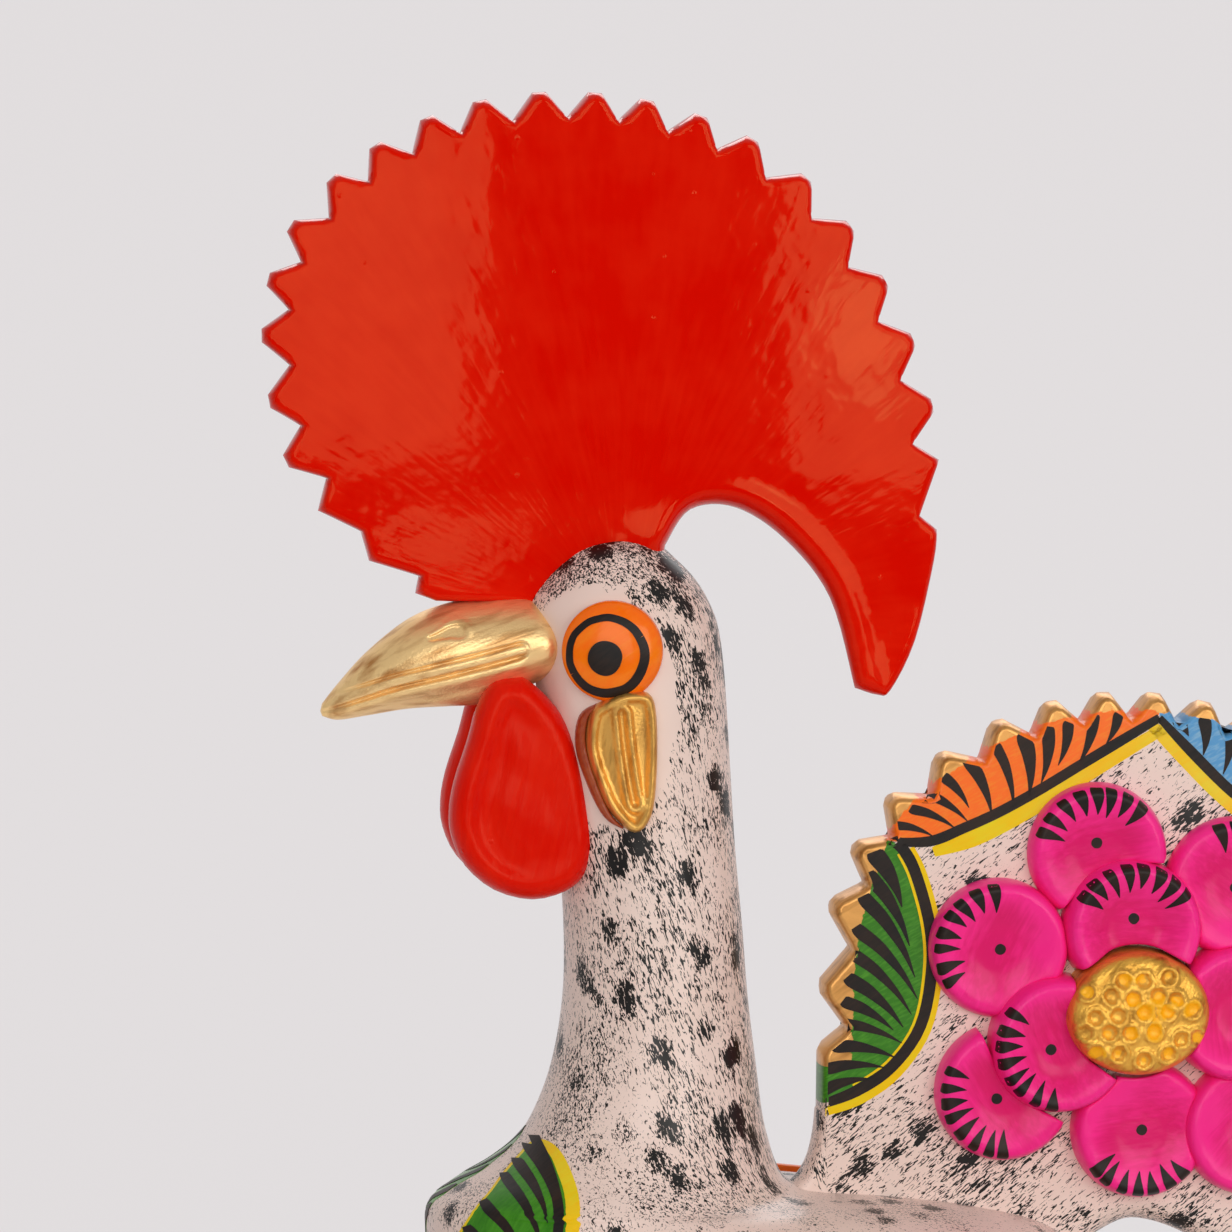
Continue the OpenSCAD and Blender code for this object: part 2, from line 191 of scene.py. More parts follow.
def depth_inside(spots: Array, loop: Array) -> Array:
    """Distance to an outline, positive inside it and negative outside."""
    return line_distance(spots, loop, True) * np.where(inside(spots, loop), 1, -1)


def divided(loop: Array, step: float) -> Array:
    """A closed outline with points added so that no edge is longer than a step."""
    out = []
    for a, b in zip(loop, np.roll(loop, -1, axis=0)):
        count = max(1, math.ceil(np.linalg.norm(b - a) / step - 1e-6))
        out += [a + (b - a) * k / count for k in range(count)]
    return np.array(out)


def filled(loop: Array, step: float, rows: Sequence[float]) -> tuple[Array, list, Array]:
    """Triangles over a closed outline.

    Args:
        loop: the outline.
        step: size of a triangle.
        rows: distances from the outline at which rows of points follow it.

    Returns:
        Points, triangles as index triples, and each point's distance from the outline.
    """
    edge = divided(np.asarray(loop, float), step)
    area = (edge[:, 0] * np.roll(edge[:, 1], -1) - np.roll(edge[:, 0], -1) * edge[:, 1]).sum()
    if area < 0:
        edge = edge[::-1]
    run = np.roll(edge, -1, axis=0) - np.roll(edge, 1, axis=0)
    inward = np.column_stack([-run[:, 1], run[:, 0]]) / np.maximum(np.linalg.norm(run, axis=1), 1e-9)[:, None]
    groups = [edge]
    for gap in rows:
        near = edge + inward * gap
        near = near[inside(near, edge)]
        if len(near):
            groups.append(near[line_distance(near, edge, True) > 0.93 * gap])
    low, high = edge.min(0), edge.max(0)
    across = np.arange(low[0], high[0], step)
    up = np.arange(low[1], high[1], step * 0.866)
    grid = np.array([[a + (k % 2) * step / 2, b] for k, b in enumerate(up) for a in across])
    if len(grid):
        grid = grid[inside(grid, edge)]
    if len(grid):
        reach = (rows[-1] if len(rows) else 0) + 0.5 * step
        groups.append(grid[line_distance(grid, edge, True) > reach])
    spots = np.vstack(groups)
    made = delaunay_2d_cdt([Vector(p) for p in spots], [], [list(range(len(edge)))], 1, 1e-5)
    points = np.array([tuple(p) for p in made[0]])
    return points, [tuple(f) for f in made[2]], line_distance(points, edge, True)


def brush_mark(path: Sequence, widths: Sequence[float], steps: int = 5) -> Array:
    """Outline of one brush mark.

    Args:
        path: points along the mark's middle.
        widths: the mark's width at each of them.
        steps: steps of the curve between two points.

    Returns:
        The closed outline.
    """
    rows = curve(np.column_stack([np.asarray(path, float), widths]), steps)
    way = np.gradient(rows[:, :2], axis=0)
    way /= np.maximum(np.linalg.norm(way, axis=1), 1e-9)[:, None]
    side = np.column_stack([-way[:, 1], way[:, 0]]) * np.maximum(rows[:, 2:3], 0.1) / 2
    return np.vstack([rows[:, :2] + side, (rows[:, :2] - side)[::-1]])


def blot(middle: Sequence[float], radius: float, seed: int) -> Array:
    """Outline of a small dot of paint that isn't quite round."""
    chance = random.Random(seed)
    count, waver = 48, 0.012
    sizes = np.full(count, radius)
    for waves in (2, 3, 4):
        sizes += radius * waver * np.cos(waves * turns_round(count) + chance.uniform(0, 6))
    return oval(count, sizes, sizes) + middle


def rounding(gap: Array, radius: Array | float) -> Array:
    """Share of full height near a rounded edge: 0 on the edge and 1 from a radius inwards."""
    t = 1 - np.clip(gap / radius, 0, 1)
    return np.sqrt(np.maximum(0, 1 - t * t))


def ramp(value: Array, low: float, high: float) -> Array:
    """Smooth step from 0 at low to 1 at high."""
    t = np.clip((value - low) / (high - low), 0, 1)
    return t * t * (3 - 2 * t)


def bump(value: Array, middle: float, wide: float, high: float) -> Array:
    """Soft ridge of a height where a value is near its middle."""
    return high * np.exp(-((value - middle) / wide) ** 2)


def level(height: float) -> Height:
    """Height field of one height all over."""
    return lambda spots, _: np.full(len(spots), height)


def upright(sign: float) -> Place:
    """Placing of flat points in the middle plane, heights growing towards one side."""
    return lambda spots, height: np.column_stack([spots[:, 0], sign * height, spots[:, 1]])


def level_ring(count: int, x: float, half_x: float, half_y: float, z: float) -> Array:
    """Points round a level oval."""
    return np.column_stack([oval(count, half_x, half_y) + (x, 0), np.full(count, z)])


# Meshes

class Shell:
    """Points in mm and faces that grow into one closed piece."""

    def __init__(self) -> None:
        """Start with nothing."""
        self.points: list[Array] = []
        self.faces: list[tuple[int, ...]] = []
        self.coats: list[int] = []
        self.count = 0

    def add(self, points: Array, faces: Sequence, coat: int = 0) -> "Shell":
        """Add points and the faces over them, in one of the piece's finishes."""
        self.faces += [tuple(i + self.count for i in f) for f in faces]
        self.coats += [coat] * len(faces)
        self.points.append(points)
        self.count += len(points)
        return self

    def sheet(self, loop: Array, step: float, over: Height, under: Height, place: Place,
              rows: Sequence[float] = (), coat: int = 0) -> "Shell":
        """Add a closed body between two height fields over a flat outline.

        Args:
            loop: the outline.
            step: size of a triangle.
            over: upper height from points and their distances from the outline.
            under: lower height in the same way.
            place: turns flat points and heights to the bird's frame.
            rows: distances from the outline at which rows of points follow it.
            coat: which of the piece's finishes it takes.

        Returns:
            This shell.
        """
        spots, triangles, gap = filled(loop, step, rows)
        count = len(spots)
        faces = list(triangles) + [tuple(i + count for i in reversed(t)) for t in triangles]
        edges = dict.fromkeys(edge for a, b, c in triangles for edge in ((a, b), (b, c), (c, a)))
        faces += [(b, a, a + count, b + count) for a, b in edges if (b, a) not in edges]
        points = np.vstack([place(spots, height(spots, gap)) for height in (over, under)])
        return self.add(points, faces, coat)

    def plate(self, loop: Array, step: float, half: Height, rows: Sequence[float]) -> "Shell":
        """Add a plate in the middle plane, from its outline and its half thickness."""
        return self.sheet(loop, step, half, lambda spots, gap: -half(spots, gap), upright(1), rows)

    def loft(self, rings: Array, coat: int = 0, start: Array | None = None,
             end: Array | None = None) -> "Shell":
        """Add a skin over rings of points, closed by the poles that are given."""
        many, each = rings.shape[:2]
        faces = [(low + j, low + (j + 1) % each, low + each + (j + 1) % each, low + each + j)
                 for low in range(0, (many - 1) * each, each) for j in range(each)]
        points = [rings.reshape(-1, 3)]
        for pole, first in ((start, 0), (end, (many - 1) * each)):
            if pole is not None:
                index = sum(len(p) for p in points)
                points.append(np.asarray(pole, float)[None])
                faces += [(first + j, first + (j + 1) % each, index) for j in range(each)]
        return self.add(np.vstack(points), faces, coat)

    def piece(self, name: str, finishes: Sequence["Finish"], slot: str, nodes: Sequence[str] = (),
              home: Matrix | None = None, marks: dict[str, Measure] | None = None,
              crease: float = 0.0) -> bpy.types.Object:
        """Make the piece and join it to the frame.

        Args:
            name: the piece's name.
            finishes: its finishes, in the order of the coats.
            slot: a material slot's name; not used.
            nodes: the solids it stands for.
            home: its own frame in mm, in which its finish is laid out.
            marks: named values to keep at each point, from points in the bird's frame.
            crease: angle in degrees above which an edge stays sharp, or 0 for none.

        Returns:
            The new object.
        """
        points = np.vstack(self.points)
        home = home or Matrix.Identity(4)
        back = np.array(home.inverted())
        local = points @ back[:3, :3].T + back[:3, 3]
        mesh = bpy.data.meshes.new(name)
        mesh.from_pydata((local * MM).tolist(), [], self.faces)
        mesh.polygons.foreach_set("material_index", self.coats)
        for key, value in (marks or {}).items():
            mesh.attributes.new(key, "FLOAT", "POINT").data.foreach_set("value", value(points))
        tidy_mesh(mesh, crease)
        for finish in finishes:
            mesh.materials.append(finish.material())
        obj = linked(name, mesh)
        move = home.copy()
        move.translation = home.translation * MM
        obj.matrix_world = move
        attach(obj, "root")
        if nodes:
            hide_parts(*nodes)
        LOG.info("%s: %d faces", name, len(mesh.polygons))
        return obj


def linked(name: str, data: bpy.types.ID) -> bpy.types.Object:
    """A new object in the scene."""
    obj = bpy.data.objects.new(name, data)
    bpy.context.scene.collection.objects.link(obj)
    return obj


def tidy_mesh(mesh: bpy.types.Mesh, crease: float) -> None:
    """Join points that meet, turn every face outwards and shade it smooth.

    Args:
        mesh: the mesh to tidy.
        crease: angle in degrees above which an edge stays sharp, or 0 for none.
    """
    work = bmesh.new()
    work.from_mesh(mesh)
    bmesh.ops.remove_doubles(work, verts=work.verts, dist=0.004 * MM)
    bmesh.ops.recalc_face_normals(work, faces=work.faces)
    for face in work.faces:
        face.smooth = True
    if crease:
        for edge in work.edges:
            edge.smooth = len(edge.link_faces) == 2 and edge.calc_face_angle(0) < math.radians(crease)
    work.to_mesh(mesh)
    work.free()


# Finishes

def linear(code: str) -> tuple[float, float, float, float]:
    """Turn an sRGB hex colour to a linear one."""
    parts = [int(code[k:k + 2], 16) / 255 for k in (0, 2, 4)]
    return (*[c / 12.92 if c <= 0.04045 else ((c + 0.055) / 1.055) ** 2.4 for c in parts], 1.0)


def add_node(tree: Tree, kind: str, wires: dict | None = None, **settings: object) -> bpy.types.Node:
    """Add a node, set it up and wire it.

    Args:
        tree: the node tree.
        kind: the node's type, without the words that all shader nodes begin with.
        wires: for an input's name or number, a value, or the output or node that feeds it. Of a node, it is
            the first output in use.
        **settings: the node's own properties.

    Returns:
        The node.
    """
    node = tree.nodes.new("ShaderNode" + kind)
    for key, value in settings.items():
        setattr(node, key, value)
    for key, value in (wires or {}).items():
        if isinstance(value, bpy.types.Node):
            value = next(out for out in value.outputs if out.enabled)
        if isinstance(value, bpy.types.NodeSocket):
            tree.links.new(value, node.inputs[key])
        else:
            node.inputs[key].default_value = value
    return node


def cleared(owner: bpy.types.ID) -> Tree:
    """The emptied node tree of a material or a world."""
    owner.use_nodes = True
    owner.node_tree.nodes.clear()
    return owner.node_tree


class Finish:
    """A finish that is made into a material once, when a piece first needs it."""

    name: str
    made: dict[str, bpy.types.Material] = {}

    def material(self) -> bpy.types.Material:
        """The finish's material."""
        if self.name not in Finish.made:
            made = Finish.made[self.name] = bpy.data.materials.new(self.name)
            tree = cleared(made)
            add_node(tree, "OutputMaterial", {"Surface": self.lay(tree)})
        return Finish.made[self.name]

    def lay(self, tree: Tree) -> Wire:
        """Lay the finish's nodes and give its shader."""
        raise NotImplementedError


def millimetres(tree: Tree, scale: tuple[float, float, float] = (1, 1, 1), turn: float = 0.0) -> Wire:
    """The place on the piece in mm, turned about Y by radians and then scaled."""
    place = add_node(tree, "TexCoord").outputs["Object"]
    turned = add_node(tree, "VectorRotate", {"Vector": place, "Rotation": (0, turn, 0)},
                      rotation_type="EULER_XYZ")
    return add_node(tree, "VectorMath", {0: turned, 1: tuple(s / MM for s in scale)}, operation="MULTIPLY")


@dataclass(frozen=True)
class Patch:
    """An oval seen from the side, in mm, that the dry brush goes over more often, or leaves bare."""

    x: float
    z: float
    half_length: float
    half_height: float
    more: float

    def shift(self, tree: Tree, place: Wire, total: Wire) -> Wire:
        """The amount of black with this oval's share added."""
        away = add_node(tree, "VectorMath", {0: place, 1: (self.x, 0, self.z)}, operation="SUBTRACT")
        shape = (1 / self.half_length, 0, 1 / self.half_height)
        scaled = add_node(tree, "VectorMath", {0: away, 1: shape}, operation="MULTIPLY")
        far = add_node(tree, "VectorMath", {0: scaled}, operation="LENGTH")
        waver = add_node(tree, "TexNoise", {"Vector": place, "Scale": 0.3, "Detail": 2.0})
        edge = add_node(tree, "Math", {0: waver, 1: 0.3, 2: far}, operation="MULTIPLY_ADD")
        share = add_node(tree, "MapRange",
                         {"Value": edge, "From Min": 1.22, "From Max": 1.08, "To Max": self.more})
        return add_node(tree, "Math", {0: total, 1: share})


@dataclass(frozen=True)
class Speckle:
    """Black dry-brush dabs: a stiff brush, nearly dry, leaves blots broken into bristle streaks."""

    spacing: float = 6.8
    blot_radius: float = 1.95
    bristle_pitch: float = 0.4
    streak_length: float = 1.8
    lean: float = 20.0
    amount: float = 1.0
    patches: tuple[Patch, ...] = ()

    def cover(self, tree: Tree) -> Wire:
        """How much black lies at each place, from 0 to 1."""
        place = millimetres(tree, (1, 1, 0.68), math.radians(self.lean))
        wobble = add_node(tree, "TexNoise", {"Vector": place, "Scale": 0.3, "Detail": 2.0}).outputs["Color"]
        moved = add_node(tree, "VectorMath", {0: wobble, 1: (3, 3, 3), 2: place}, operation="MULTIPLY_ADD")
        cells = add_node(tree, "TexVoronoi", {"Vector": moved, "Scale": 1 / self.spacing, "Randomness": 0.9})
        reach = self.blot_radius / self.spacing
        core = add_node(tree, "MapRange", {"Value": cells, "From Min": reach * 1.45, "From Max": reach * 0.6})
        narrow = (1 / self.bristle_pitch, 1 / self.bristle_pitch, 1 / self.streak_length)
        along = millimetres(tree, narrow, math.radians(self.lean))
        bristles = add_node(tree, "TexNoise", {"Vector": along, "Scale": 1.0, "Detail": 2.5,
                                               "Roughness": 0.55, "Distortion": 1.0})
        thick = add_node(tree, "TexNoise", {"Vector": place, "Scale": 0.075, "Detail": 1.0})
        dense = add_node(tree, "MapRange", {"Value": thick, "From Min": 0.38, "From Max": 0.62,
                                            "To Min": -0.04, "To Max": 0.05})
        both = add_node(tree, "Math", {0: core, 1: 0.2, 2: bristles}, operation="MULTIPLY_ADD")
        more = add_node(tree, "Math", {0: both, 1: dense})
        straight = millimetres(tree)
        for patch in self.patches:
            more = patch.shift(tree, straight, more)
        low = 0.632 - 0.03 * self.amount
        return add_node(tree, "MapRange", {"Value": more, "From Min": low, "From Max": low + 0.02})


@dataclass(frozen=True)
class PaintedGlaze(Finish):
    """Cream tin glaze with black dabs, flat areas of colour and gilding, under a clear glaze.

    The eye sees a soft pinkish white with a smooth wet sheen, and the gilding as brushed metal.
    """

    name: str
    speckle: Speckle = Speckle()
    areas: tuple[tuple[str, Paint], ...] = ()
    gilt: str = ""

    def lay(self, tree: Tree) -> Wire:
        """Lay cream, dabs, colours and gilding one over another."""
        place = millimetres(tree)
        cloud = add_node(tree, "TexNoise", {"Vector": place, "Scale": 0.05, "Detail": 3.0})
        ground = add_node(tree, "Mix", {0: cloud, 6: linear("f3ddd4"), 7: linear("e8cec2")}, data_type="RGBA")
        cover = self.speckle.cover(tree)
        dabs = add_node(tree, "Mix", {0: cover, 6: linear("4a3026"), 7: linear("0e0a09")}, data_type="RGBA")
        colour = add_node(tree, "Mix", {0: cover, 6: ground, 7: dabs}, data_type="RGBA")
        streaks = add_node(tree, "TexNoise",
                           {"Vector": millimetres(tree, (0.5, 0.5, 2.2), 0.5), "Scale": 1.0, "Detail": 2.0})
        mixing = add_node(tree, "MapRange", {"Value": streaks, "From Min": 0.45, "From Max": 0.75})
        for mark, paint in self.areas:
            main, second = (linear(code) for code in paint.value)
            shade = add_node(tree, "Mix", {0: mixing, 6: main, 7: second}, data_type="RGBA")
            area = self.mask(tree, mark, 0.12)
            colour = add_node(tree, "Mix", {0: area, 6: colour, 7: shade}, data_type="RGBA")
        metal = 0.0
        if self.gilt:
            gilding, gold = self.mask(tree, self.gilt, 0.9), GoldPaint.colour(tree)
            colour = add_node(tree, "Mix", {0: gilding, 6: colour, 7: gold}, data_type="RGBA")
            metal = add_node(tree, "Math", {0: gilding, 1: GoldPaint.metal}, operation="MULTIPLY")
        waves = add_node(tree, "TexNoise", {"Vector": place, "Scale": 0.3, "Detail": 3.0})
        bump = add_node(tree, "Bump", {"Height": waves, "Distance": 0.12 * MM, "Strength": 0.8})
        return add_node(tree, "BsdfPrincipled",
                        {"Base Color": colour, "Metallic": metal, "Roughness": 0.34, "IOR": 1.5,
                         "Specular IOR Level": 0.35, "Coat Weight": 0.07, "Coat Roughness": 0.16,
                         "Normal": bump})

    @staticmethod
    def mask(tree: Tree, mark: str, ragged: float) -> Wire:
        """Where a marked area lies, its edge wavering by a brush's raggedness in mm."""
        depth = add_node(tree, "Attribute", attribute_name=mark).outputs["Fac"]
        waver = add_node(tree, "TexNoise", {"Vector": millimetres(tree), "Scale": 0.6, "Detail": 3.0})
        moved = add_node(tree, "Math", {0: waver, 1: 2 * ragged, 2: depth}, operation="MULTIPLY_ADD")
        return add_node(tree, "MapRange",
                        {"Value": moved, "From Min": ragged - 0.06, "From Max": ragged + 0.06})


@dataclass(frozen=True)
class GoldPaint(Finish):
    """Bronze-powder gold paint over clay: a satin metal with thin darker strokes and fine wrinkles."""

    name: str = "gold_paint"
    light: str = "fcc878"
    dark: str = "b47a3a"
    run: float = 0.6
    wrinkle: float = 0.14
    # Enamel dabbed into the pressed cups, where the piece has them
    dabbed: bool = False
    metal: float = 0.75

    @staticmethod
    def colour(tree: Tree, light: str = "dba05a", dark: str = "8f5c26", run: float = 0.6) -> Wire:
        """The gold's colour, darker in strokes where the paint is thin."""
        worn = add_node(tree, "TexNoise",
                        {"Vector": millimetres(tree, (0.09, 0.5, 0.5), run), "Scale": 1.0, "Detail": 4.0})
        share = add_node(tree, "MapRange", {"Value": worn, "From Min": 0.48, "From Max": 0.8})
        return add_node(tree, "Mix", {0: share, 6: linear(light), 7: linear(dark)}, data_type="RGBA")

    def lay(self, tree: Tree) -> Wire:
        """Lay the gold with its brush wrinkles, about 0.5 mm apart."""
        place = millimetres(tree, (0.16, 1.7, 1.7), self.run)
        wrinkles = add_node(tree, "TexNoise",
                            {"Vector": place, "Scale": 1.0, "Detail": 3.0, "Distortion": 0.3})
        grit = add_node(tree, "TexNoise", {"Vector": millimetres(tree), "Scale": 2.2, "Detail": 2.0})
        height = add_node(tree, "Math", {0: grit, 1: 0.8, 2: wrinkles}, operation="MULTIPLY_ADD")
        bump = add_node(tree, "Bump", {"Height": height, "Distance": self.wrinkle * MM, "Strength": 0.8})
        colour, metal = self.colour(tree, self.light, self.dark, self.run), self.metal
        if self.dabbed:
            cup = add_node(tree, "Attribute", attribute_name="cup").outputs["Fac"]
            cloud = add_node(tree, "TexNoise", {"Vector": millimetres(tree), "Scale": 0.2, "Detail": 2.0})
            moved = add_node(tree, "Math", {0: cloud, 1: 6.0, 2: cup}, operation="MULTIPLY_ADD")
            dab = add_node(tree, "MapRange", {"Value": moved, "From Min": 3.7, "From Max": 4.1})
            colour = add_node(tree, "Mix", {0: dab, 6: colour, 7: linear("ffb800")}, data_type="RGBA")
            metal = add_node(tree, "MapRange", {"Value": dab, "To Min": metal, "To Max": 0.1})
        return add_node(tree, "BsdfPrincipled",
                        {"Base Color": colour, "Metallic": metal, "Roughness": 0.38, "Normal": bump})


@dataclass(frozen=True)
class Enamel(Finish):
    """Gloss enamel brushed on by hand: a wet shine broken by brush ridges and a few pimples."""

    name: str
    paint: Paint
    ridge_pitch: float = 1.1
    ridge_height: float = 0.05
    lean: float = 0.6
    roughness: float = 0.22
    pimples: float = 0.0
    # Level and colour of the shine on the paint itself, and weight of the clear wet coat over it
    level: float = 0.5
    shine: str = "ffffff"
    wet: float = 0.12
    # Point in mm, as X and Z, from which the brush strokes fan out
    fan: tuple[float, float] | None = None
    # Radius in mm of a round piece whose rim takes the second colour and whose middle leans to the main one:
    # on the petals this is painted light on the raised rim and painted shade in the cupped middle
    rim: float = 0.0
    # Height of the slow swell under the ridges, in ridges
    swell: float = 2.0

    def lay(self, tree: Tree) -> Wire:
        """Lay the enamel's two shades, with painted shade and light across a round piece that has a rim, its
        ridges and its pimples.
        """
        main, second = (linear(code) for code in self.paint.value)
        streaks = add_node(tree, "TexNoise",
                           {"Vector": self.strokes(tree), "Scale": 1.0, "Detail": 3.0, "Distortion": 0.3})
        place = millimetres(tree)
        cloud = add_node(tree, "TexNoise", {"Vector": place, "Scale": 0.09, "Detail": 3.0})
        blend = add_node(tree, "Math", {0: streaks, 1: 0.5, 2: cloud}, operation="MULTIPLY_ADD")
        share = add_node(tree, "MapRange", {"Value": blend, "From Min": 0.6, "From Max": 0.95})
        # Painted shade and light: the main colour darkens the middle of a round piece and the second colour
        # lightens its rim, so the petals' cupped middles look shaded and their rims look lit
        if self.rim:
            flat = add_node(tree, "VectorMath", {0: place, 1: (1, 1, 0)}, operation="MULTIPLY")
            far = add_node(tree, "VectorMath", {0: flat}, operation="LENGTH")
            near = add_node(tree, "MapRange",
                            {"Value": far, "From Min": 0.35 * self.rim, "From Max": self.rim, "To Min": -0.3})
            share = add_node(tree, "Math", {0: near, 1: share}, use_clamp=True)
        colour = add_node(tree, "Mix", {0: share, 6: main, 7: second}, data_type="RGBA")
        slow = add_node(tree, "TexNoise", {"Vector": place, "Scale": 0.16, "Detail": 2.0})
        height = add_node(tree, "Math", {0: slow, 1: self.swell, 2: streaks}, operation="MULTIPLY_ADD")
        if self.pimples:
            spots = add_node(tree, "TexVoronoi", {"Vector": place, "Scale": 0.14})
            bead = add_node(tree, "MapRange", {"Value": spots, "From Min": 0.07, "From Max": 0.0})
            height = add_node(tree, "Math", {0: bead, 1: self.pimples, 2: height}, operation="MULTIPLY_ADD")
        bump = add_node(tree, "Bump", {"Height": height, "Distance": self.ridge_height * MM})
        return add_node(tree, "BsdfPrincipled",
                        {"Base Color": colour, "Roughness": self.roughness, "IOR": 1.5, "Normal": bump,
                         "Specular IOR Level": self.level, "Specular Tint": linear(self.shine),
                         "Coat Weight": self.wet, "Coat Roughness": 0.06})

    def strokes(self, tree: Tree) -> Wire:
        """Where each place lies across and along the brush strokes, a ridge being 1 across."""
        pitch, drawn = self.ridge_pitch, 0.12
        if not self.fan:
            return millimetres(tree, (drawn / pitch, 1 / pitch, 1 / pitch), self.lean)
        away = add_node(tree, "VectorMath",
                        {0: millimetres(tree), 1: (self.fan[0], 0, self.fan[1])}, operation="SUBTRACT")
        parts = add_node(tree, "SeparateXYZ", {0: away}).outputs
        turn = add_node(tree, "Math", {0: parts["X"], 1: parts["Z"]}, operation="ARCTAN2")
        far = add_node(tree, "VectorMath", {0: away}, operation="LENGTH")
        across = add_node(tree, "Math", {0: turn, 1: 45 / pitch}, operation="MULTIPLY")
        along = add_node(tree, "Math", {0: far, 1: drawn / pitch}, operation="MULTIPLY")
        return add_node(tree, "CombineXYZ", {0: along, 1: across, 2: parts["Y"]})


# Finishes of this bird

# Heights in mm of yellow paint and of the black laid over it
PAINT_LIFTS = (0.08, 0.16)
LOBE_COLOURS = (("green", Paint.GREEN), ("orange", Paint.ORANGE), ("blue", Paint.BLUE))
# The dark crown, nape and throat, and the bare face
HEAD_PATCHES = (Patch(-50, 311.8, 15, 8.2, 0.075), Patch(-34, 288, 7, 30, 0.05),
                Patch(-44, 230, 34, 38, 0.035), Patch(-52.5, 286, 13.5, 21, -0.5))
CREAM = PaintedGlaze("speckled_cream_glaze", Speckle(patches=HEAD_PATCHES))
TAIL_GLAZE = PaintedGlaze("painted_tail_glaze", Speckle(spacing=8.5, lean=-50, amount=2.2), LOBE_COLOURS,
                          "gilt")
WING_GLAZE = PaintedGlaze("painted_wing_glaze", Speckle(spacing=9, lean=-60), LOBE_COLOURS, "gilt")
BELL_GLAZE = PaintedGlaze("painted_bell_glaze", Speckle(spacing=9.5), LOBE_COLOURS, "gilt")
GOLD = GoldPaint("lobe_gold", "eab45c", "8a5420", 1.4, 0.1)
BEAK_GOLD = GoldPaint("beak_gold", "ffd898", "b87838", 0.36, 0.1)
BUTTON_GOLD = GoldPaint("button_gold", "ecb44c", "9c6418", 0.9, 0.16, True)
COMB_RED = Enamel("comb_red_enamel", Paint.RED, 1.2, 0.016, roughness=0.05, pimples=6, level=0.5,
                  shine="9a8a56", wet=0.0, fan=(-47, 300), swell=4.6)
WATTLE_RED = Enamel("wattle_red_enamel", Paint.RED, 1.0, 0.1, 1.4, 0.27, 1.8, 0.35, "b89070", 0.0)
BROWN = Enamel("lobe_edge_brown", Paint.BROWN, 0.8, level=0.3, wet=0.0)
BLACK = Enamel("black_line_enamel", Paint.BLACK, 0.6, 0.03, roughness=0.42, level=0.25, wet=0.0)
YELLOW = Enamel("yellow_line_enamel", Paint.YELLOW, 0.7, 0.04, level=0.3, wet=0.0)
GREEN = Enamel("leaf_green_enamel", Paint.GREEN, 0.7, 0.05, 1.0, level=0.3, wet=0.0)
ORANGE = Enamel("eye_orange_enamel", Paint.ORANGE, 0.9, 0.04, level=0.4, shine="ffe0b0")
# Its rim setting paints shade into each petal's cupped middle and light onto its raised rim
PINK = Enamel("petal_pink_enamel", Paint.PINK, 0.9, 0.06, 0.3, 0.3, level=0.3, shine="ffd0e8", wet=0.06,
              rim=12.7)
LEG_YELLOW = Enamel("leg_yellow_enamel", Paint.YELLOW, 0.9, 0.05, 1.2)


# Sub-assemblies

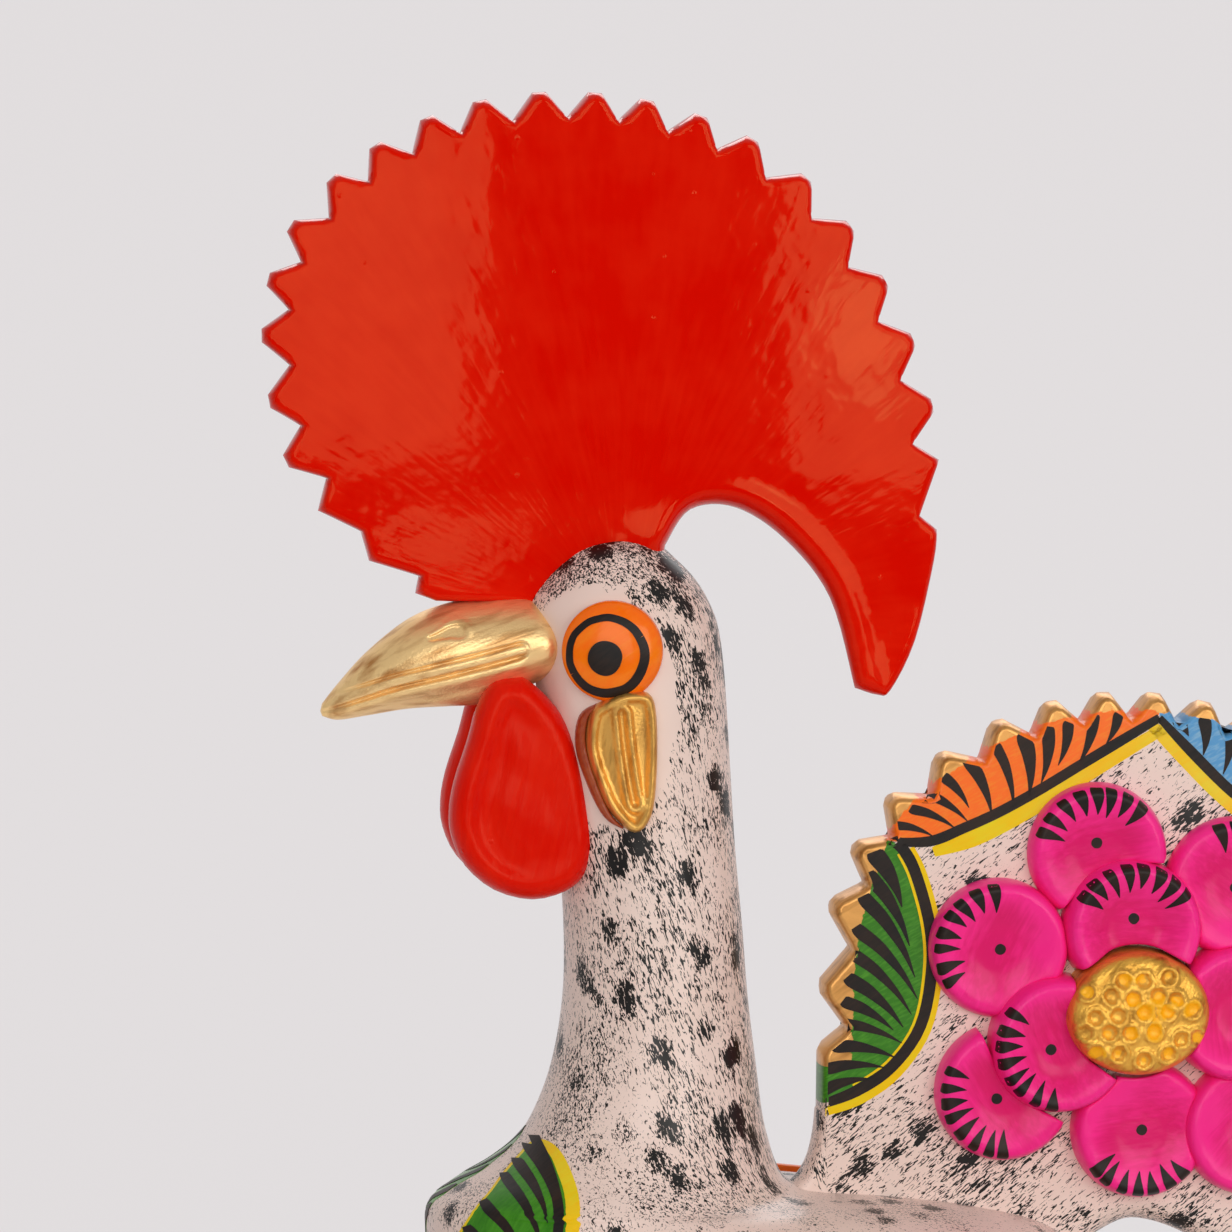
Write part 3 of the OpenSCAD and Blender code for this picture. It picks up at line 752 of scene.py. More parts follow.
@dataclass
class Body:
    """Slip-cast body, neck and head: one hollow shell."""

    foot_top: float = 97
    belly_height: float = 100
    breast_reach: float = 82
    rump_reach: float = 43.5
    width: float = 90
    wall: float = 6
    neck_height: float = 119
    neck_x: float = 41
    neck_depth: float = 32
    neck_width: float = 32
    seat_radius: float = 18
    seat_height: float = 9.2
    drain_radius: float = 14
    around: int = 120
    # Share of the belly's height, then shares of the breast's reach, the rump's reach and half the width
    belly: tuple = (
        (0, 0.34, 0.64, 0.62), (0.07, 0.44, 0.76, 0.73), (0.17, 0.57, 0.85, 0.83), (0.31, 0.71, 0.93, 0.93),
        (0.47, 0.82, 0.99, 0.99), (0.63, 0.91, 1, 1), (0.77, 0.967, 0.96, 0.96), (0.87, 0.996, 0.87, 0.89),
        (0.93, 1, 0.71, 0.81), (0.965, 1, 0.41, 0.75), (0.986, 0.988, 0.05, 0.7), (0.998, 0.97, -0.28, 0.67))
    # Share of the neck's height, shift of its middle in mm, then shares of its depth and its width
    neck: tuple = (
        (0.017, -5.5, 1.86, 1.75), (0.042, -3.8, 1.64, 1.58), (0.076, -1.9, 1.44, 1.44),
        (0.118, -0.8, 1.3, 1.31), (0.193, 0.3, 1.16, 1.18), (0.294, 0.6, 1.05, 1.08),
        (0.403, 0.2, 1.01, 1.03), (0.529, -1, 1, 1), (0.655, -2.4, 1.03, 1), (0.782, -4, 1.07, 1.02),
        (0.857, -5.3, 1.08, 1.02), (0.899, -6.3, 1.03, 0.94), (0.933, -6.4, 0.88, 0.81),
        (0.962, -6.5, 0.68, 0.62), (0.985, -6.3, 0.46, 0.42), (1, -6, 0.12, 0.15))
    profile: Array = field(init=False)

    def __post_init__(self) -> None:
        """Work out the smooth rows: height, middle, half depth and half width."""
        rows = []
        for share, breast, rump, wide in self.belly:
            front, back = -self.breast_reach * breast, self.rump_reach * rump
            rows.append((self.foot_top + self.belly_height * share, (front + back) / 2, (back - front) / 2,
                         self.width / 2 * wide))
        for share, shift, deep, wide in self.neck:
            rows.append((self.saddle + self.neck_height * share, shift - self.neck_x,
                         self.neck_depth / 2 * deep, self.neck_width / 2 * wide))
        self.profile = curve(rows, 8)
        self.profile[:, 0] = np.maximum.accumulate(self.profile[:, 0])

    @property
    def saddle(self) -> float:
        """Height of the saddle."""
        return self.foot_top + self.belly_height

    @property
    def crown(self) -> Array:
        """The crown of the head, as X and Z."""
        return np.array([-self.neck_x - 6, self.saddle + self.neck_height])

    def row(self, z: Array | float) -> tuple[Array, Array, Array]:
        """Middle, half depth and half width at a height."""
        return tuple(np.interp(z, self.profile[:, 0], self.profile[:, k]) for k in (1, 2, 3))

    def side(self, x: Array, z: Array) -> Array:
        """Distance from the middle plane to the skin at a place seen from the side."""
        middle, deep, wide = self.row(z)
        return wide * np.sqrt(np.maximum(0, 1 - ((x - middle) / deep) ** 2))

    def skin(self, turn: Array, z: Array, lift: Array) -> Array:
        """Places on the skin.

        Args:
            turn: turn in radians round the row's middle, from the tail towards the right side.
            z: height.
            lift: height above the skin.

        Returns:
            The places in the bird's frame.
        """
        middle, deep, wide = self.row(z)
        reach = 0.6
        above, below = self.row(z + reach), self.row(z - reach)
        cos, sin = np.cos(turn), np.sin(turn)
        rise = np.column_stack([above[0] - below[0] + (above[1] - below[1]) * cos,
                                (above[2] - below[2]) * sin, np.full_like(turn, 2 * reach)])
        run = np.column_stack([-deep * sin, wide * cos, np.zeros_like(turn)])
        normal = np.cross(run, rise)
        normal /= np.linalg.norm(normal, axis=1)[:, None]
        return np.column_stack([middle + deep * cos, wide * sin, z]) + normal * np.asarray(lift)[:, None]

    def ring(self, row: Sequence[float], grow: float = 0.0) -> Array:
        """A level ring of points on the skin, grown outwards by a margin."""
        z, middle, deep, wide = row
        return level_ring(self.around, middle, deep + grow, wide + grow, z)

    def build(self) -> None:
        """Make the shell: down the outside, in at the seat and up the hollow."""
        outer = [self.ring(row) for row in self.profile[::-1]]
        seat_top = self.foot_top + self.seat_height
        hollow = [self.ring((z, 0, radius, radius)) for z, radius in (
            (self.foot_top, self.seat_radius), (seat_top, self.seat_radius),
            (seat_top, self.drain_radius), (seat_top + 6, self.drain_radius))]
        for z in np.arange(seat_top + 10, self.saddle - 14, 5):
            hollow.append(self.ring((z, *self.row(z)), -self.wall))
        shell = Shell().loft(np.array(outer + hollow), start=outer[0].mean(0), end=hollow[-1].mean(0))
        shell.piece("body_shell", [CREAM], "cream_glaze", ["body_left", "body_right"], crease=50)


@dataclass
class Comb:
    """Saw-toothed comb, a pressed plate whose root goes into the head."""

    body: Body
    thick: float = 11
    root: float = 17
    pillow: float = 2.4
    edge_radius: float = 0.9
    arch_radius: float = 3.4
    beak_top: float = 12.2
    reach: float = 62
    # Outline in mm from the crown
    rim: tuple = (
        (-53.4, 3.6), (-60, 13.7), (-62.9, 24.4), (-64.2, 36.2), (-63, 46.2), (-59, 55.7), (-51.6, 64.2),
        (-43.8, 70), (-34.6, 74.9), (-25.1, 77.9), (-14.4, 79.4), (-4.3, 79.3), (5.1, 78), (14.8, 75.2),
        (24.1, 71), (33.9, 64), (41.9, 55.3), (48.3, 45.4), (53.4, 34.8), (57, 22.9), (58.4, 11.6))
    cut: tuple = ((54.7, 3),)
    front: tuple = ((-33.2, -11.6), (-36.8, -10.2), (-36.2, -7.1), (-45.1, -4.3), (-46.6, 1))
    tip: tuple = ((57.9, 0.4), (57.4, -5.2), (54, -19.6), (49.5, -28.7), (47, -29.5), (43, -28.2))
    arch: tuple = ((43, -28.2), (38.4, -11.8), (30.2, -1.2), (21.1, 4.7), (12.9, 4.4), (8.4, -1.9))

    def __post_init__(self) -> None:
        """Work out the outline and the line of the arch."""
        root = [(6, -self.root), (-14, -self.root), (-17, -self.beak_top)]
        self.arch_line = curve(self.arch, 6) + self.body.crown
        self.outline = np.vstack([self.front, saw_teeth(self.rim), self.cut, curve(self.tip, 4),
                                  curve(self.arch, 6)[1:], root]) + self.body.crown

    def half(self, spots: Array, gap: Array) -> Array:
        """Half thickness: a slight pillow, a soft edge, a round lip at the arch and a flare at the head."""
        middle = self.body.crown + np.array([-2, 36])
        far = np.linalg.norm(spots - middle, axis=1) / self.reach
        arch_gap = line_distance(spots, self.arch_line, False)
        lip = 1 - ramp(arch_gap, 2, 6)
        radius = self.edge_radius + (self.arch_radius - self.edge_radius) * lip
        face = self.thick / 2 - self.pillow * np.clip(far, 0, 1.2) ** 2 * (1 - 0.3 * lip)
        near = np.exp(-(np.linalg.norm(spots - self.arch_line[-10], axis=1) / 13) ** 2)
        face += near * (bump(arch_gap, 3, 1.2, 0.15) - bump(arch_gap, 6.5, 1.6, 0.1))
        foot = self.body.crown + np.array([7, 0])
        face += bump(np.linalg.norm(spots - foot, axis=1), 0, 4.5, 1.2)
        return face * rounding(gap, radius)

    def build(self) -> None:
        """Make the comb."""
        shell = Shell().plate(self.outline, 1.3, self.half, (0.06, 0.25, 0.6, 1.1, 1.8, 2.8, 4.0))
        shell.piece("comb_plate", [COMB_RED], "red_enamel", ["comb"])


@dataclass
class Tail:
    """Saw-toothed tail fan with painted lobes, lines and strokes on both faces."""

    body: Body
    front_x: float = -11
    thick: float = 12
    root: float = 8
    pillow: float = 0.8
    edge_radius: float = 1.0
    arch_radius: float = 4.5
    line_lift: float = 0.08
    # Outline in mm from the saddle at the fan's front edge
    rim: tuple = (
        (0.4, 24), (2.6, 51.3), (13.2, 70.8), (33, 84.4), (52.5, 89.4), (71.3, 87.6), (89.5, 80.5),
        (105, 67.5), (116, 50), (122, 30), (120.5, 9))
    cut: tuple = ((115.8, 3.4),)
    tip: tuple = ((118.5, 0.2), (115, -12), (106.5, -28), (98, -41), (93.5, -46), (88.5, -43.5))
    arch: tuple = ((88.5, -43.5), (84, -28.5), (76.5, -16.5), (67.6, -9.8), (58.2, -7), (51.7, -9.5))
    # Clay smoothed into the corner between the front edge and the saddle
    foot: tuple = ((-7, -0.9), (-4.6, 0.8), (-2.7, 3), (-1.3, 6), (-0.4, 10.2), (0, 14.5))
    # Middles of the black lines between colour and ground, in the bird's frame
    green_line: tuple = (
        (1.8, 260.6), (4.3, 258.6), (6.6, 253.9), (9, 244.8), (9.3, 236.4), (7.3, 226.6), (2.1, 219.3),
        (-4.3, 215), (-10.7, 212.6))
    orange_line: tuple = (
        (1.4, 260.4), (8.9, 260.3), (15.3, 262.7), (21.7, 265.5), (29, 269.4), (36.3, 273.7), (43.7, 278),
        (51, 282.2))
    blue_line: tuple = (
        (51, 282.2), (56.6, 276.3), (64.4, 268.6), (72.5, 262.6), (81, 259), (90, 257.6), (98.4, 257.8))
    rear_line: tuple = (
        (98.4, 257.8), (93.6, 250), (91.2, 241), (91.6, 231), (94.6, 221.5), (100, 213.5), (108.6, 206.5))
    # Black strokes from the gilding inwards, green lobe first: start, end and width at the start
    strokes: tuple = (
        ((-1.2, 258.6), (3.9, 248.4), 3.4), ((-2.3, 254.8), (5.3, 241.3), 2.8),
        ((-3.3, 250.8), (6.3, 235.6), 2.7), ((-4.5, 245), (6.8, 231.6), 2.5),
        ((-5.4, 240.6), (5.7, 228.8), 2.3), ((-6, 235.9), (4.2, 226.5), 2.6),
        ((-6.8, 231.6), (2.4, 226), 2.3), ((-7.8, 227.6), (4, 223.6), 2.1), ((-8.6, 223.4), (2.8, 221), 2.4),
        ((-10, 219.2), (0.8, 219.2), 2.2), ((-10.7, 215.2), (-1.6, 217.2), 2.2),
        ((2.6, 263.4), (9.6, 261.2), 1.6), ((5.4, 266.4), (13.6, 262.6), 1.8),
        ((8, 269.2), (15.9, 263.8), 1.9), ((11.3, 272.3), (16.1, 266.3), 2),
        ((15.9, 275.4), (20.3, 264.9), 2.5), ((21, 277.9), (24.3, 266), 2),
        ((26.2, 279.6), (27.1, 268.2), 2.9), ((30.6, 281), (29.3, 270.6), 2.6),
        ((34.4, 281.6), (32.4, 273.8), 2.1), ((39.2, 283.2), (36.1, 273.9), 2.2),
        ((43.6, 283), (41.2, 277.6), 1.9),
        ((54.3, 281.8), (56.4, 278.8), 2.2), ((59.4, 282), (59.1, 275.3), 2.4),
        ((64.2, 281), (62.8, 271.8), 2.4), ((69.3, 279.4), (67.5, 267.6), 2.4),
        ((74, 277), (72.4, 264.4), 2.4), ((78.9, 273.9), (77.6, 261.8), 2.4),
        ((83.6, 270.2), (83.2, 260.2), 2.3), ((87.8, 266.4), (88.6, 259.4), 2.1),
        ((92, 263.2), (93.2, 259.4), 1.8),
        ((99.6, 253.6), (95.2, 250), 2), ((102.4, 248.6), (93.2, 245), 2.3),
        ((104, 243.2), (92.6, 240.2), 2.3), ((105.6, 237.6), (92.8, 235.4), 2.3),
        ((106.4, 232), (93.2, 230.6), 2.3), ((106.8, 226.4), (94.6, 225.8), 2.3),
        ((106.6, 221), (97, 220.8), 2.2), ((106.2, 215.6), (100.2, 216), 2))

    def __post_init__(self) -> None:
        """Work out the outline, the rim's line of tips and the line of the arch."""
        start = np.array([self.front_x, self.body.saddle])
        teeth, root = saw_teeth(curve(self.rim, 2)), [(48, -12 - self.root), (0, -self.root)]
        self.tips = curve(self.rim, 10) + start
        self.arch_line = curve(self.arch, 6) + start
        self.outline = np.vstack([[(0, 1.5), (0.3, 14)], teeth, self.cut, curve(self.tip, 4),
                                  curve(self.arch, 6)[1:], root]) + start
        self.hanging = np.vstack([curve(self.rim, 10)[-12:], curve(self.tip, 4)]) + start

    def half(self, spots: Array, gap: Array) -> Array:
        """Half thickness: nearly flat, with a soft edge and a round lip under the hanging tip."""
        far = np.hypot(spots[:, 0] - 48, spots[:, 1] - self.body.saddle - 34) / 60
        lip = 1 - ramp(line_distance(spots, self.arch_line, False), 2, 7)
        radius = self.edge_radius + (self.arch_radius - self.edge_radius) * lip
        return (self.thick / 2 - self.pillow * np.clip(far, 0, 1.2) ** 2) * rounding(gap, radius)

    def foot_half(self, spots: Array, gap: Array) -> Array:
        """Half thickness of the clay smoothed into the corner, flush with the fan's face."""
        deep = np.full(len(spots), 9.0)
        return (self.half(spots, deep) + 0.03) * rounding(gap, 1.8)

    def face(self, lift: float) -> Height:
        """Height of the face plus a layer of paint."""
        return lambda spots, _: self.half(spots, line_distance(spots, self.outline, True)) + lift

    def marks(self) -> dict[str, Measure]:
        """The painted areas, as depths inside their outlines in mm."""
        def area(line: tuple, *beyond: tuple) -> Measure:
            """Depth inside the area between a line and the points beyond the rim."""
            loop = np.vstack([curve(line, 6), np.array(beyond)])
            return lambda points: depth_inside(points[:, [0, 2]], loop)

        def gilt(points: Array) -> Array:
            """Depth inside the gilding: wide on the green, and only the tips of the teeth above."""
            spots = points[:, [0, 2]]
            wide = 5.3 - 2.4 * ramp(spots[:, 0], -2, 4) + 0.6 * ramp(spots[:, 0], 60, 80)
            wide += 1.6 * ramp(spots[:, 0], 94, 100)
            depth = wide - line_distance(spots, self.tips, False)
            below = 4.2 - line_distance(spots, self.hanging, False)
            low = spots[:, 1] < self.body.saddle + 12
            bare = spots[:, 1] < self.body.saddle + 22
            return np.where(low & (spots[:, 0] > 60), below, np.where(bare, -3, depth))

        return {
            "green": lambda p: np.maximum(
                area(self.green_line, (-20, 212.5), (-20, 262), (0, 261.5))(p),
                area(self.rear_line, (125, 206.5), (125, 257.8))(p)),
            "orange": area(self.orange_line, (51, 300), (-14, 300), (-14, 262)),
            "blue": area(self.blue_line, (120, 257.8), (120, 300), (51, 300)),
            "gilt": gilt,
        }

    def build(self) -> None:
        """Make the fan, then the lines and strokes on each face."""
        shell = Shell().plate(self.outline, 1.2, self.half, (0.06, 0.25, 0.55, 1.0, 1.5, 2.4, 3.6))
        shell.piece("tail_plate", [TAIL_GLAZE], "cream_glaze", ["tail_fan"], marks=self.marks())
        foot = np.vstack([curve(self.foot, 5), [(3, 15), (3, -3), (-7, -3)]])
        foot += (self.front_x, self.body.saddle)
        clay = Shell().plate(foot, 0.9, self.foot_half, (0.1, 0.4, 0.9, 1.6))
        clay.piece("tail_foot_clay", [CREAM], "cream_glaze")
        for side in Side:
            self.paint_lines(side)

    def paint_lines(self, side: Side) -> None:
        """Lay the yellow bands, the black lines and the black strokes on one face."""
        shell = Shell()
        bands = (
            (shifted(self.green_line[1:], -1.5), (0.9, 0.9, 1.0, 1.1, 1.3, 1.8, 2.2, 1.6)),
            (shifted(self.green_line[1:-1], 1.25), (0.4, 0.6, 0.7, 0.7, 0.6, 0.5, 0.3)),
            (shifted(self.orange_line[1:], 2.1), (1.8, 3.6, 3.4, 3.0, 2.7, 2.4, 2.0)),
            (shifted(self.blue_line[:-1], 1.9), (2.0, 2.4, 2.5, 2.5, 2.4, 2.0)),
            (shifted(self.rear_line[1:], 1.7), (1.2, 1.8, 2.0, 2.0, 1.9, 1.4)),
        )
        for path, widths in bands:
            self.lay(shell, brush_mark(path, widths), side, 0.04, 0)
        for line, wide in ((self.green_line, 2.1), (self.orange_line, 1.9), (self.blue_line, 1.9),
                           (self.rear_line, 1.9)):
            widths = [wide * 0.7] + [wide] * (len(line) - 2) + [wide * 0.8]
            self.lay(shell, brush_mark(line, widths), side, self.line_lift, 1)
        for start, end, wide in self.strokes:
            self.lay(shell, wedge(start, end, wide, 0.05), side, self.line_lift, 1, 1.1)
        shell.piece(f"tail_lines_{side.word}", [YELLOW, BLACK], "cream_glaze", crease=40)

    def lay(self, shell: Shell, loop: Array, side: Side, lift: float, coat: int,
            margin: float = 0.75) -> None:
        """Lay one painted shape on a face, its outline kept in from the edge by a margin."""
        small = 0.05
        for _ in range(3):
            gap = depth_inside(loop, self.outline)
            rises = [depth_inside(loop + step, self.outline) - gap for step in np.eye(2) * small]
            slope = np.column_stack(rises) / small
            loop = loop + np.maximum(margin - gap, 0)[:, None] * slope
        shell.sheet(loop, 1.2, self.face(lift), self.face(-0.25), upright(side.value), coat=coat)


def shifted(line: Sequence, by: float) -> Array:
    """A line moved sideways, to the right of its run for a positive distance."""
    points = np.asarray(line, float)
    way = np.gradient(points, axis=0)
    way /= np.linalg.norm(way, axis=1)[:, None]
    return points + np.column_stack([way[:, 1], -way[:, 0]]) * by


def wedge(start: Sequence[float], end: Sequence[float], wide: float, bow: float) -> Array:
    """One stroke of a loaded brush: wide where it is set down, then drawn out to a point.

    Args:
        start: where the brush is set down.
        end: where it leaves.
        wide: width at the start.
        bow: sideways bow as a share of the length.

    Returns:
        The closed outline.
    """
    a, b = np.asarray(start, float), np.asarray(end, float)
    run = b - a
    side = np.array([-run[1], run[0]])
    path = [a, a + 0.08 * run, a + 0.35 * run + bow * side, a + 0.7 * run + bow * side, b]
    return brush_mark(path, [wide * 0.75, wide, wide * 0.86, wide * 0.45, wide * 0.06], 4)


@dataclass(frozen=True)
class Seat:
    """A flat working frame: where its flat points and heights lie on the bird."""

    origin: tuple[float, float, float]
    across: tuple[float, float, float]
    up: tuple[float, float, float]
    out: tuple[float, float, float]

    def place(self, spots: Array, height: Array) -> Array:
        """Flat points and heights in the bird's frame."""
        origin, across, up, out = (np.array(v) for v in (self.origin, self.across, self.up, self.out))
        return origin + spots[:, :1] * across + spots[:, 1:2] * up + np.asarray(height)[:, None] * out


@dataclass
class Eye:
    """Domed eye disc with its painted ring and pupil."""

    body: Body
    side: Side
    radius: float = 9
    bulge: float = 3
    seat_depth: float = 4
    lean: float = 11
    behind_crown: float = -2.4
    below_crown: float = 19.6

    def seat(self) -> Seat:
        """The working frame on the side of the head."""
        x, z = self.body.crown + np.array([self.behind_crown, -self.below_crown])
        deep = float(self.body.side(x, z)) - self.seat_depth
        cos, sin = cos_sin(self.lean)
        sign = self.side.value
        return Seat((x, sign * deep, z), (cos, sign * sin, 0), (0, 0, 1), (-sin, sign * cos, 0))

    def dome(self, spots: Array) -> Array:
        """Height of the disc: a low dome with a soft shoulder."""
        far = np.clip(np.linalg.norm(spots, axis=1) / self.radius, 0, 1)
        return self.seat_depth + self.bulge * (1 - far ** 2.6) ** 0.62

    def build(self) -> None:
        """Make the disc, then lay the ring and the pupil on it."""
        seat = self.seat()
        disc = Shell().sheet(oval(72, self.radius, self.radius), 0.8, self.layer(0), level(0), seat.place,
                             (0.08, 0.3, 0.7))
        disc.piece(f"eye_disc_{self.side.word}", [ORANGE], "eye_enamel", [f"eye_{self.side.word}"])
        paint = Shell()
        chance = random.Random(11)
        turns = np.linspace(0.5, 0.5 + 2 * math.pi, 25)
        ring = [((6.75 + chance.uniform(-0.09, 0.09)) * math.cos(t) - 0.8,
                 (6.75 + chance.uniform(-0.09, 0.09)) * math.sin(t) - 0.55) for t in turns[:-1]]
        ring.append(ring[0])
        widths = [1.5 + 0.28 * math.cos(t + 0.9) for t in turns]
        over, under = self.layer(0.1), self.layer(-0.3)
        half = len(ring) // 2
        for part in (slice(0, half + 1), slice(half, None)):
            paint.sheet(brush_mark(ring[part], widths[part]), 0.6, over, under, seat.place)
        paint.sheet(blot((-1.05, -0.95), 3.1, 5), 0.6, self.layer(0.25), under, seat.place, (0.15, 0.4))
        paint.piece(f"eye_rings_{self.side.word}", [BLACK], "eye_enamel", crease=40)

    def layer(self, lift: float) -> Height:
        """Height of the disc plus a layer of paint."""
        return lambda spots, _: self.dome(spots) + lift


@dataclass
class Beak:
    """Gilded beak with its mouth line and nostrils."""

    body: Body
    long: float = 37
    high: float = 19
    wide: float = 24
    behind: float = 13.4
    around: int = 280
    # Share of the reach, middle below the crown in mm, then shares of the height and of the width
    rows: tuple = (
        (-0.05, 19.4, 0.25, 0.5), (-0.035, 19.3, 0.42, 0.8), (0, 19.2, 0.66, 0.96), (0.08, 19, 0.85, 1),
        (0.18, 19.8, 0.95, 0.98), (0.3, 20.8, 1, 0.93), (0.45, 21.4, 0.97, 0.86), (0.62, 23, 0.84, 0.72),
        (0.8, 26.4, 0.6, 0.5), (0.93, 29.6, 0.34, 0.3), (1, 31, 0.12, 0.1))
    mouth: tuple = ((-101.5, 285.7), (-94, 288.4), (-87.3, 290.7), (-76.5, 293.5), (-65.8, 296.4))
    # Grooves and ridges along the mouth: height over the line, half width and depth
    ridges: tuple = ((1.2, 0.34, -0.8), (-1.2, 0.38, -1.1), (-2.6, 0.8, 0.4), (-4.6, 0.8, -0.3))
    nostril: tuple = ((-81.6, 298.3), (-80, 298.9), (-78.4, 299.4), (-76.8, 299.5))

    def relief(self, points: Array) -> Array:
        """How far the skin stands out or in: the mouth's grooves and ridges and a lidded nostril."""
        flat = points[:, [0, 2]]
        mouth = curve(self.mouth, 6)
        gap = line_distance(flat, mouth, False)
        level = np.interp(flat[:, 0], mouth[:, 0], mouth[:, 1])
        signed = np.where(flat[:, 1] > level, gap, -gap)
        fade = 1 - ramp(flat[:, 0], -66.5, -64)
        out = sum(bump(signed, *ridge) for ridge in self.ridges) + 0.2 * np.exp(-(signed / 0.9) ** 4)
        near = line_distance(flat, curve(self.nostril, 4), False)
        flare = 0.5 + 0.7 * ramp(flat[:, 0], -81.5, -77)
        lid = bump(near / flare, 1.7, 0.5, 0.25) * ramp(flat[:, 1], 298.6, 300)
        hole = lid - 0.6 * np.exp(-(near / flare) ** 6)
        return out * fade + hole

    def build(self) -> None:
        """Make the beak."""
        crown = self.body.crown
        turns = turns_round(self.around)
        rings = []
        for share, below, tall, broad in curve(self.rows, 14):
            y, z = self.wide / 2 * broad * np.sin(turns), self.high / 2 * tall * np.cos(turns)
            x = np.full(self.around, crown[0] - self.behind - self.long * share * 1.086)
            ring = np.column_stack([x, y, crown[1] - below + z])
            side = np.sign(y) * ramp(np.abs(np.sin(turns)), 0.25, 0.5)
            ring[:, 1] += side * self.relief(ring) * min(1, broad * 1.6)
            rings.append(ring)
        shell = Shell().loft(np.array(rings), 0, rings[0].mean(0), rings[-1].mean(0) + (-0.35, 0, -0.2))
        shell.piece("beak_horn", [BEAK_GOLD], "gold_paint", ["beak"])


@dataclass
class Wattle:
    """One of the two wattles: a thick drop with a rounded rim and a hollowed face."""

    side: Side
    middle: float = 8
    half_thick: float = 4.5
    outline: tuple = (
        (-65.4, 291.5), (-61.8, 288.6), (-58.4, 284.5), (-55.9, 279.3), (-53.9, 271.9), (-52.6, 263.2),
        (-52.8, 259.6), (-54.4, 255.4), (-57.7, 252.6), (-63.7, 251.2), (-70.5, 253), (-75.7, 257.4),
        (-78.2, 262.7), (-78.6, 267.3), (-77.7, 272.7), (-75.3, 280), (-73.6, 286), (-70.6, 290.8))

    def face(self, spots: Array, gap: Array) -> Array:
        """Height of the outer face."""
        rim = self.half_thick * rounding(gap, 3.6)
        dip = 1.4 * ramp(gap, 3.2, 5.2) - 0.9 * ramp(gap, 6.5, 10)
        dip *= 1 - 0.85 * ramp(spots[:, 0], -71, -62)
        bend = 0.12 * np.sin(spots[:, 1] * 0.55 + spots[:, 0] * 0.3) * ramp(gap, 4.5, 8)
        return rim - dip + bend

    def build(self) -> None:
        """Make the wattle."""
        place, word = upright(self.side.value), self.side.word
        shell = Shell().sheet(closed_curve(self.outline, 3), 0.9, self.face,
                              lambda s, g: -self.half_thick * rounding(g, 3.6),
                              lambda s, h: place(s, self.middle + h), (0.06, 0.25, 0.6, 1.1, 1.8, 2.7, 3.6))
        shell.piece(f"wattle_drop_{word}", [WATTLE_RED], "red_enamel", [f"wattle_{word}"])


@dataclass
class EarLobe:
    """Gilded ear lobe: a leaf with a raised rim, a groove and a ridge down its middle."""

    body: Body
    side: Side
    outline: tuple = (
        (-52, 287.4), (-54, 285.4), (-54.6, 279.1), (-52.6, 272.1), (-50.3, 267.4), (-46.2, 263.9),
        (-43.2, 267), (-42.2, 274.8), (-42.3, 284.9), (-43.7, 288.9), (-48.2, 289.2))
    ridge: tuple = ((-48.6, 285.5), (-47.9, 279), (-46.9, 272.5), (-46.2, 269.2))
    front: tuple = (
        (-52.6, 286.8), (-54.9, 284.4), (-55.3, 279.1), (-53.3, 272.3), (-50.8, 266.9), (-48, 264.6))

    def place(self, spots: Array, height: Array) -> Array:
        """Flat points and heights above the side of the head."""
        return upright(self.side.value)(spots, self.body.side(spots[:, 0], spots[:, 1]) + height)

    def face(self, spots: Array, gap: Array) -> Array:
        """Height above the head: rim, groove and middle ridge."""
        rim = 3.4 * rounding(gap, 1.1) - 1.9 * ramp(gap, 1.1, 2.3)
        away = line_distance(spots, curve(self.ridge, 4), False)
        return rim + bump(away, 1.15, 0.5, 1.5) * ramp(gap, 1.2, 2.2) - bump(away, 0, 0.6, 0.4)

    def build(self) -> None:
        """Make the lobe and the brown edge in front of it."""
        word = self.side.word
        shell = Shell().sheet(closed_curve(self.outline, 4), 0.55, self.face, level(-2.0), self.place,
                              (0.05, 0.2, 0.45, 0.8, 1.2))
        shell.sheet(brush_mark(self.front, (0.5, 1.5, 1.8, 1.8, 1.4, 0.4)), 0.6,
                    lambda s, g: 2.1 * rounding(g, 0.7), level(-1.5), self.place, (0.1, 0.35), 1)
        shell.piece(f"ear_leaf_{word}", [GOLD, BROWN], "gold_paint", [f"ear_lobe_{word}"])


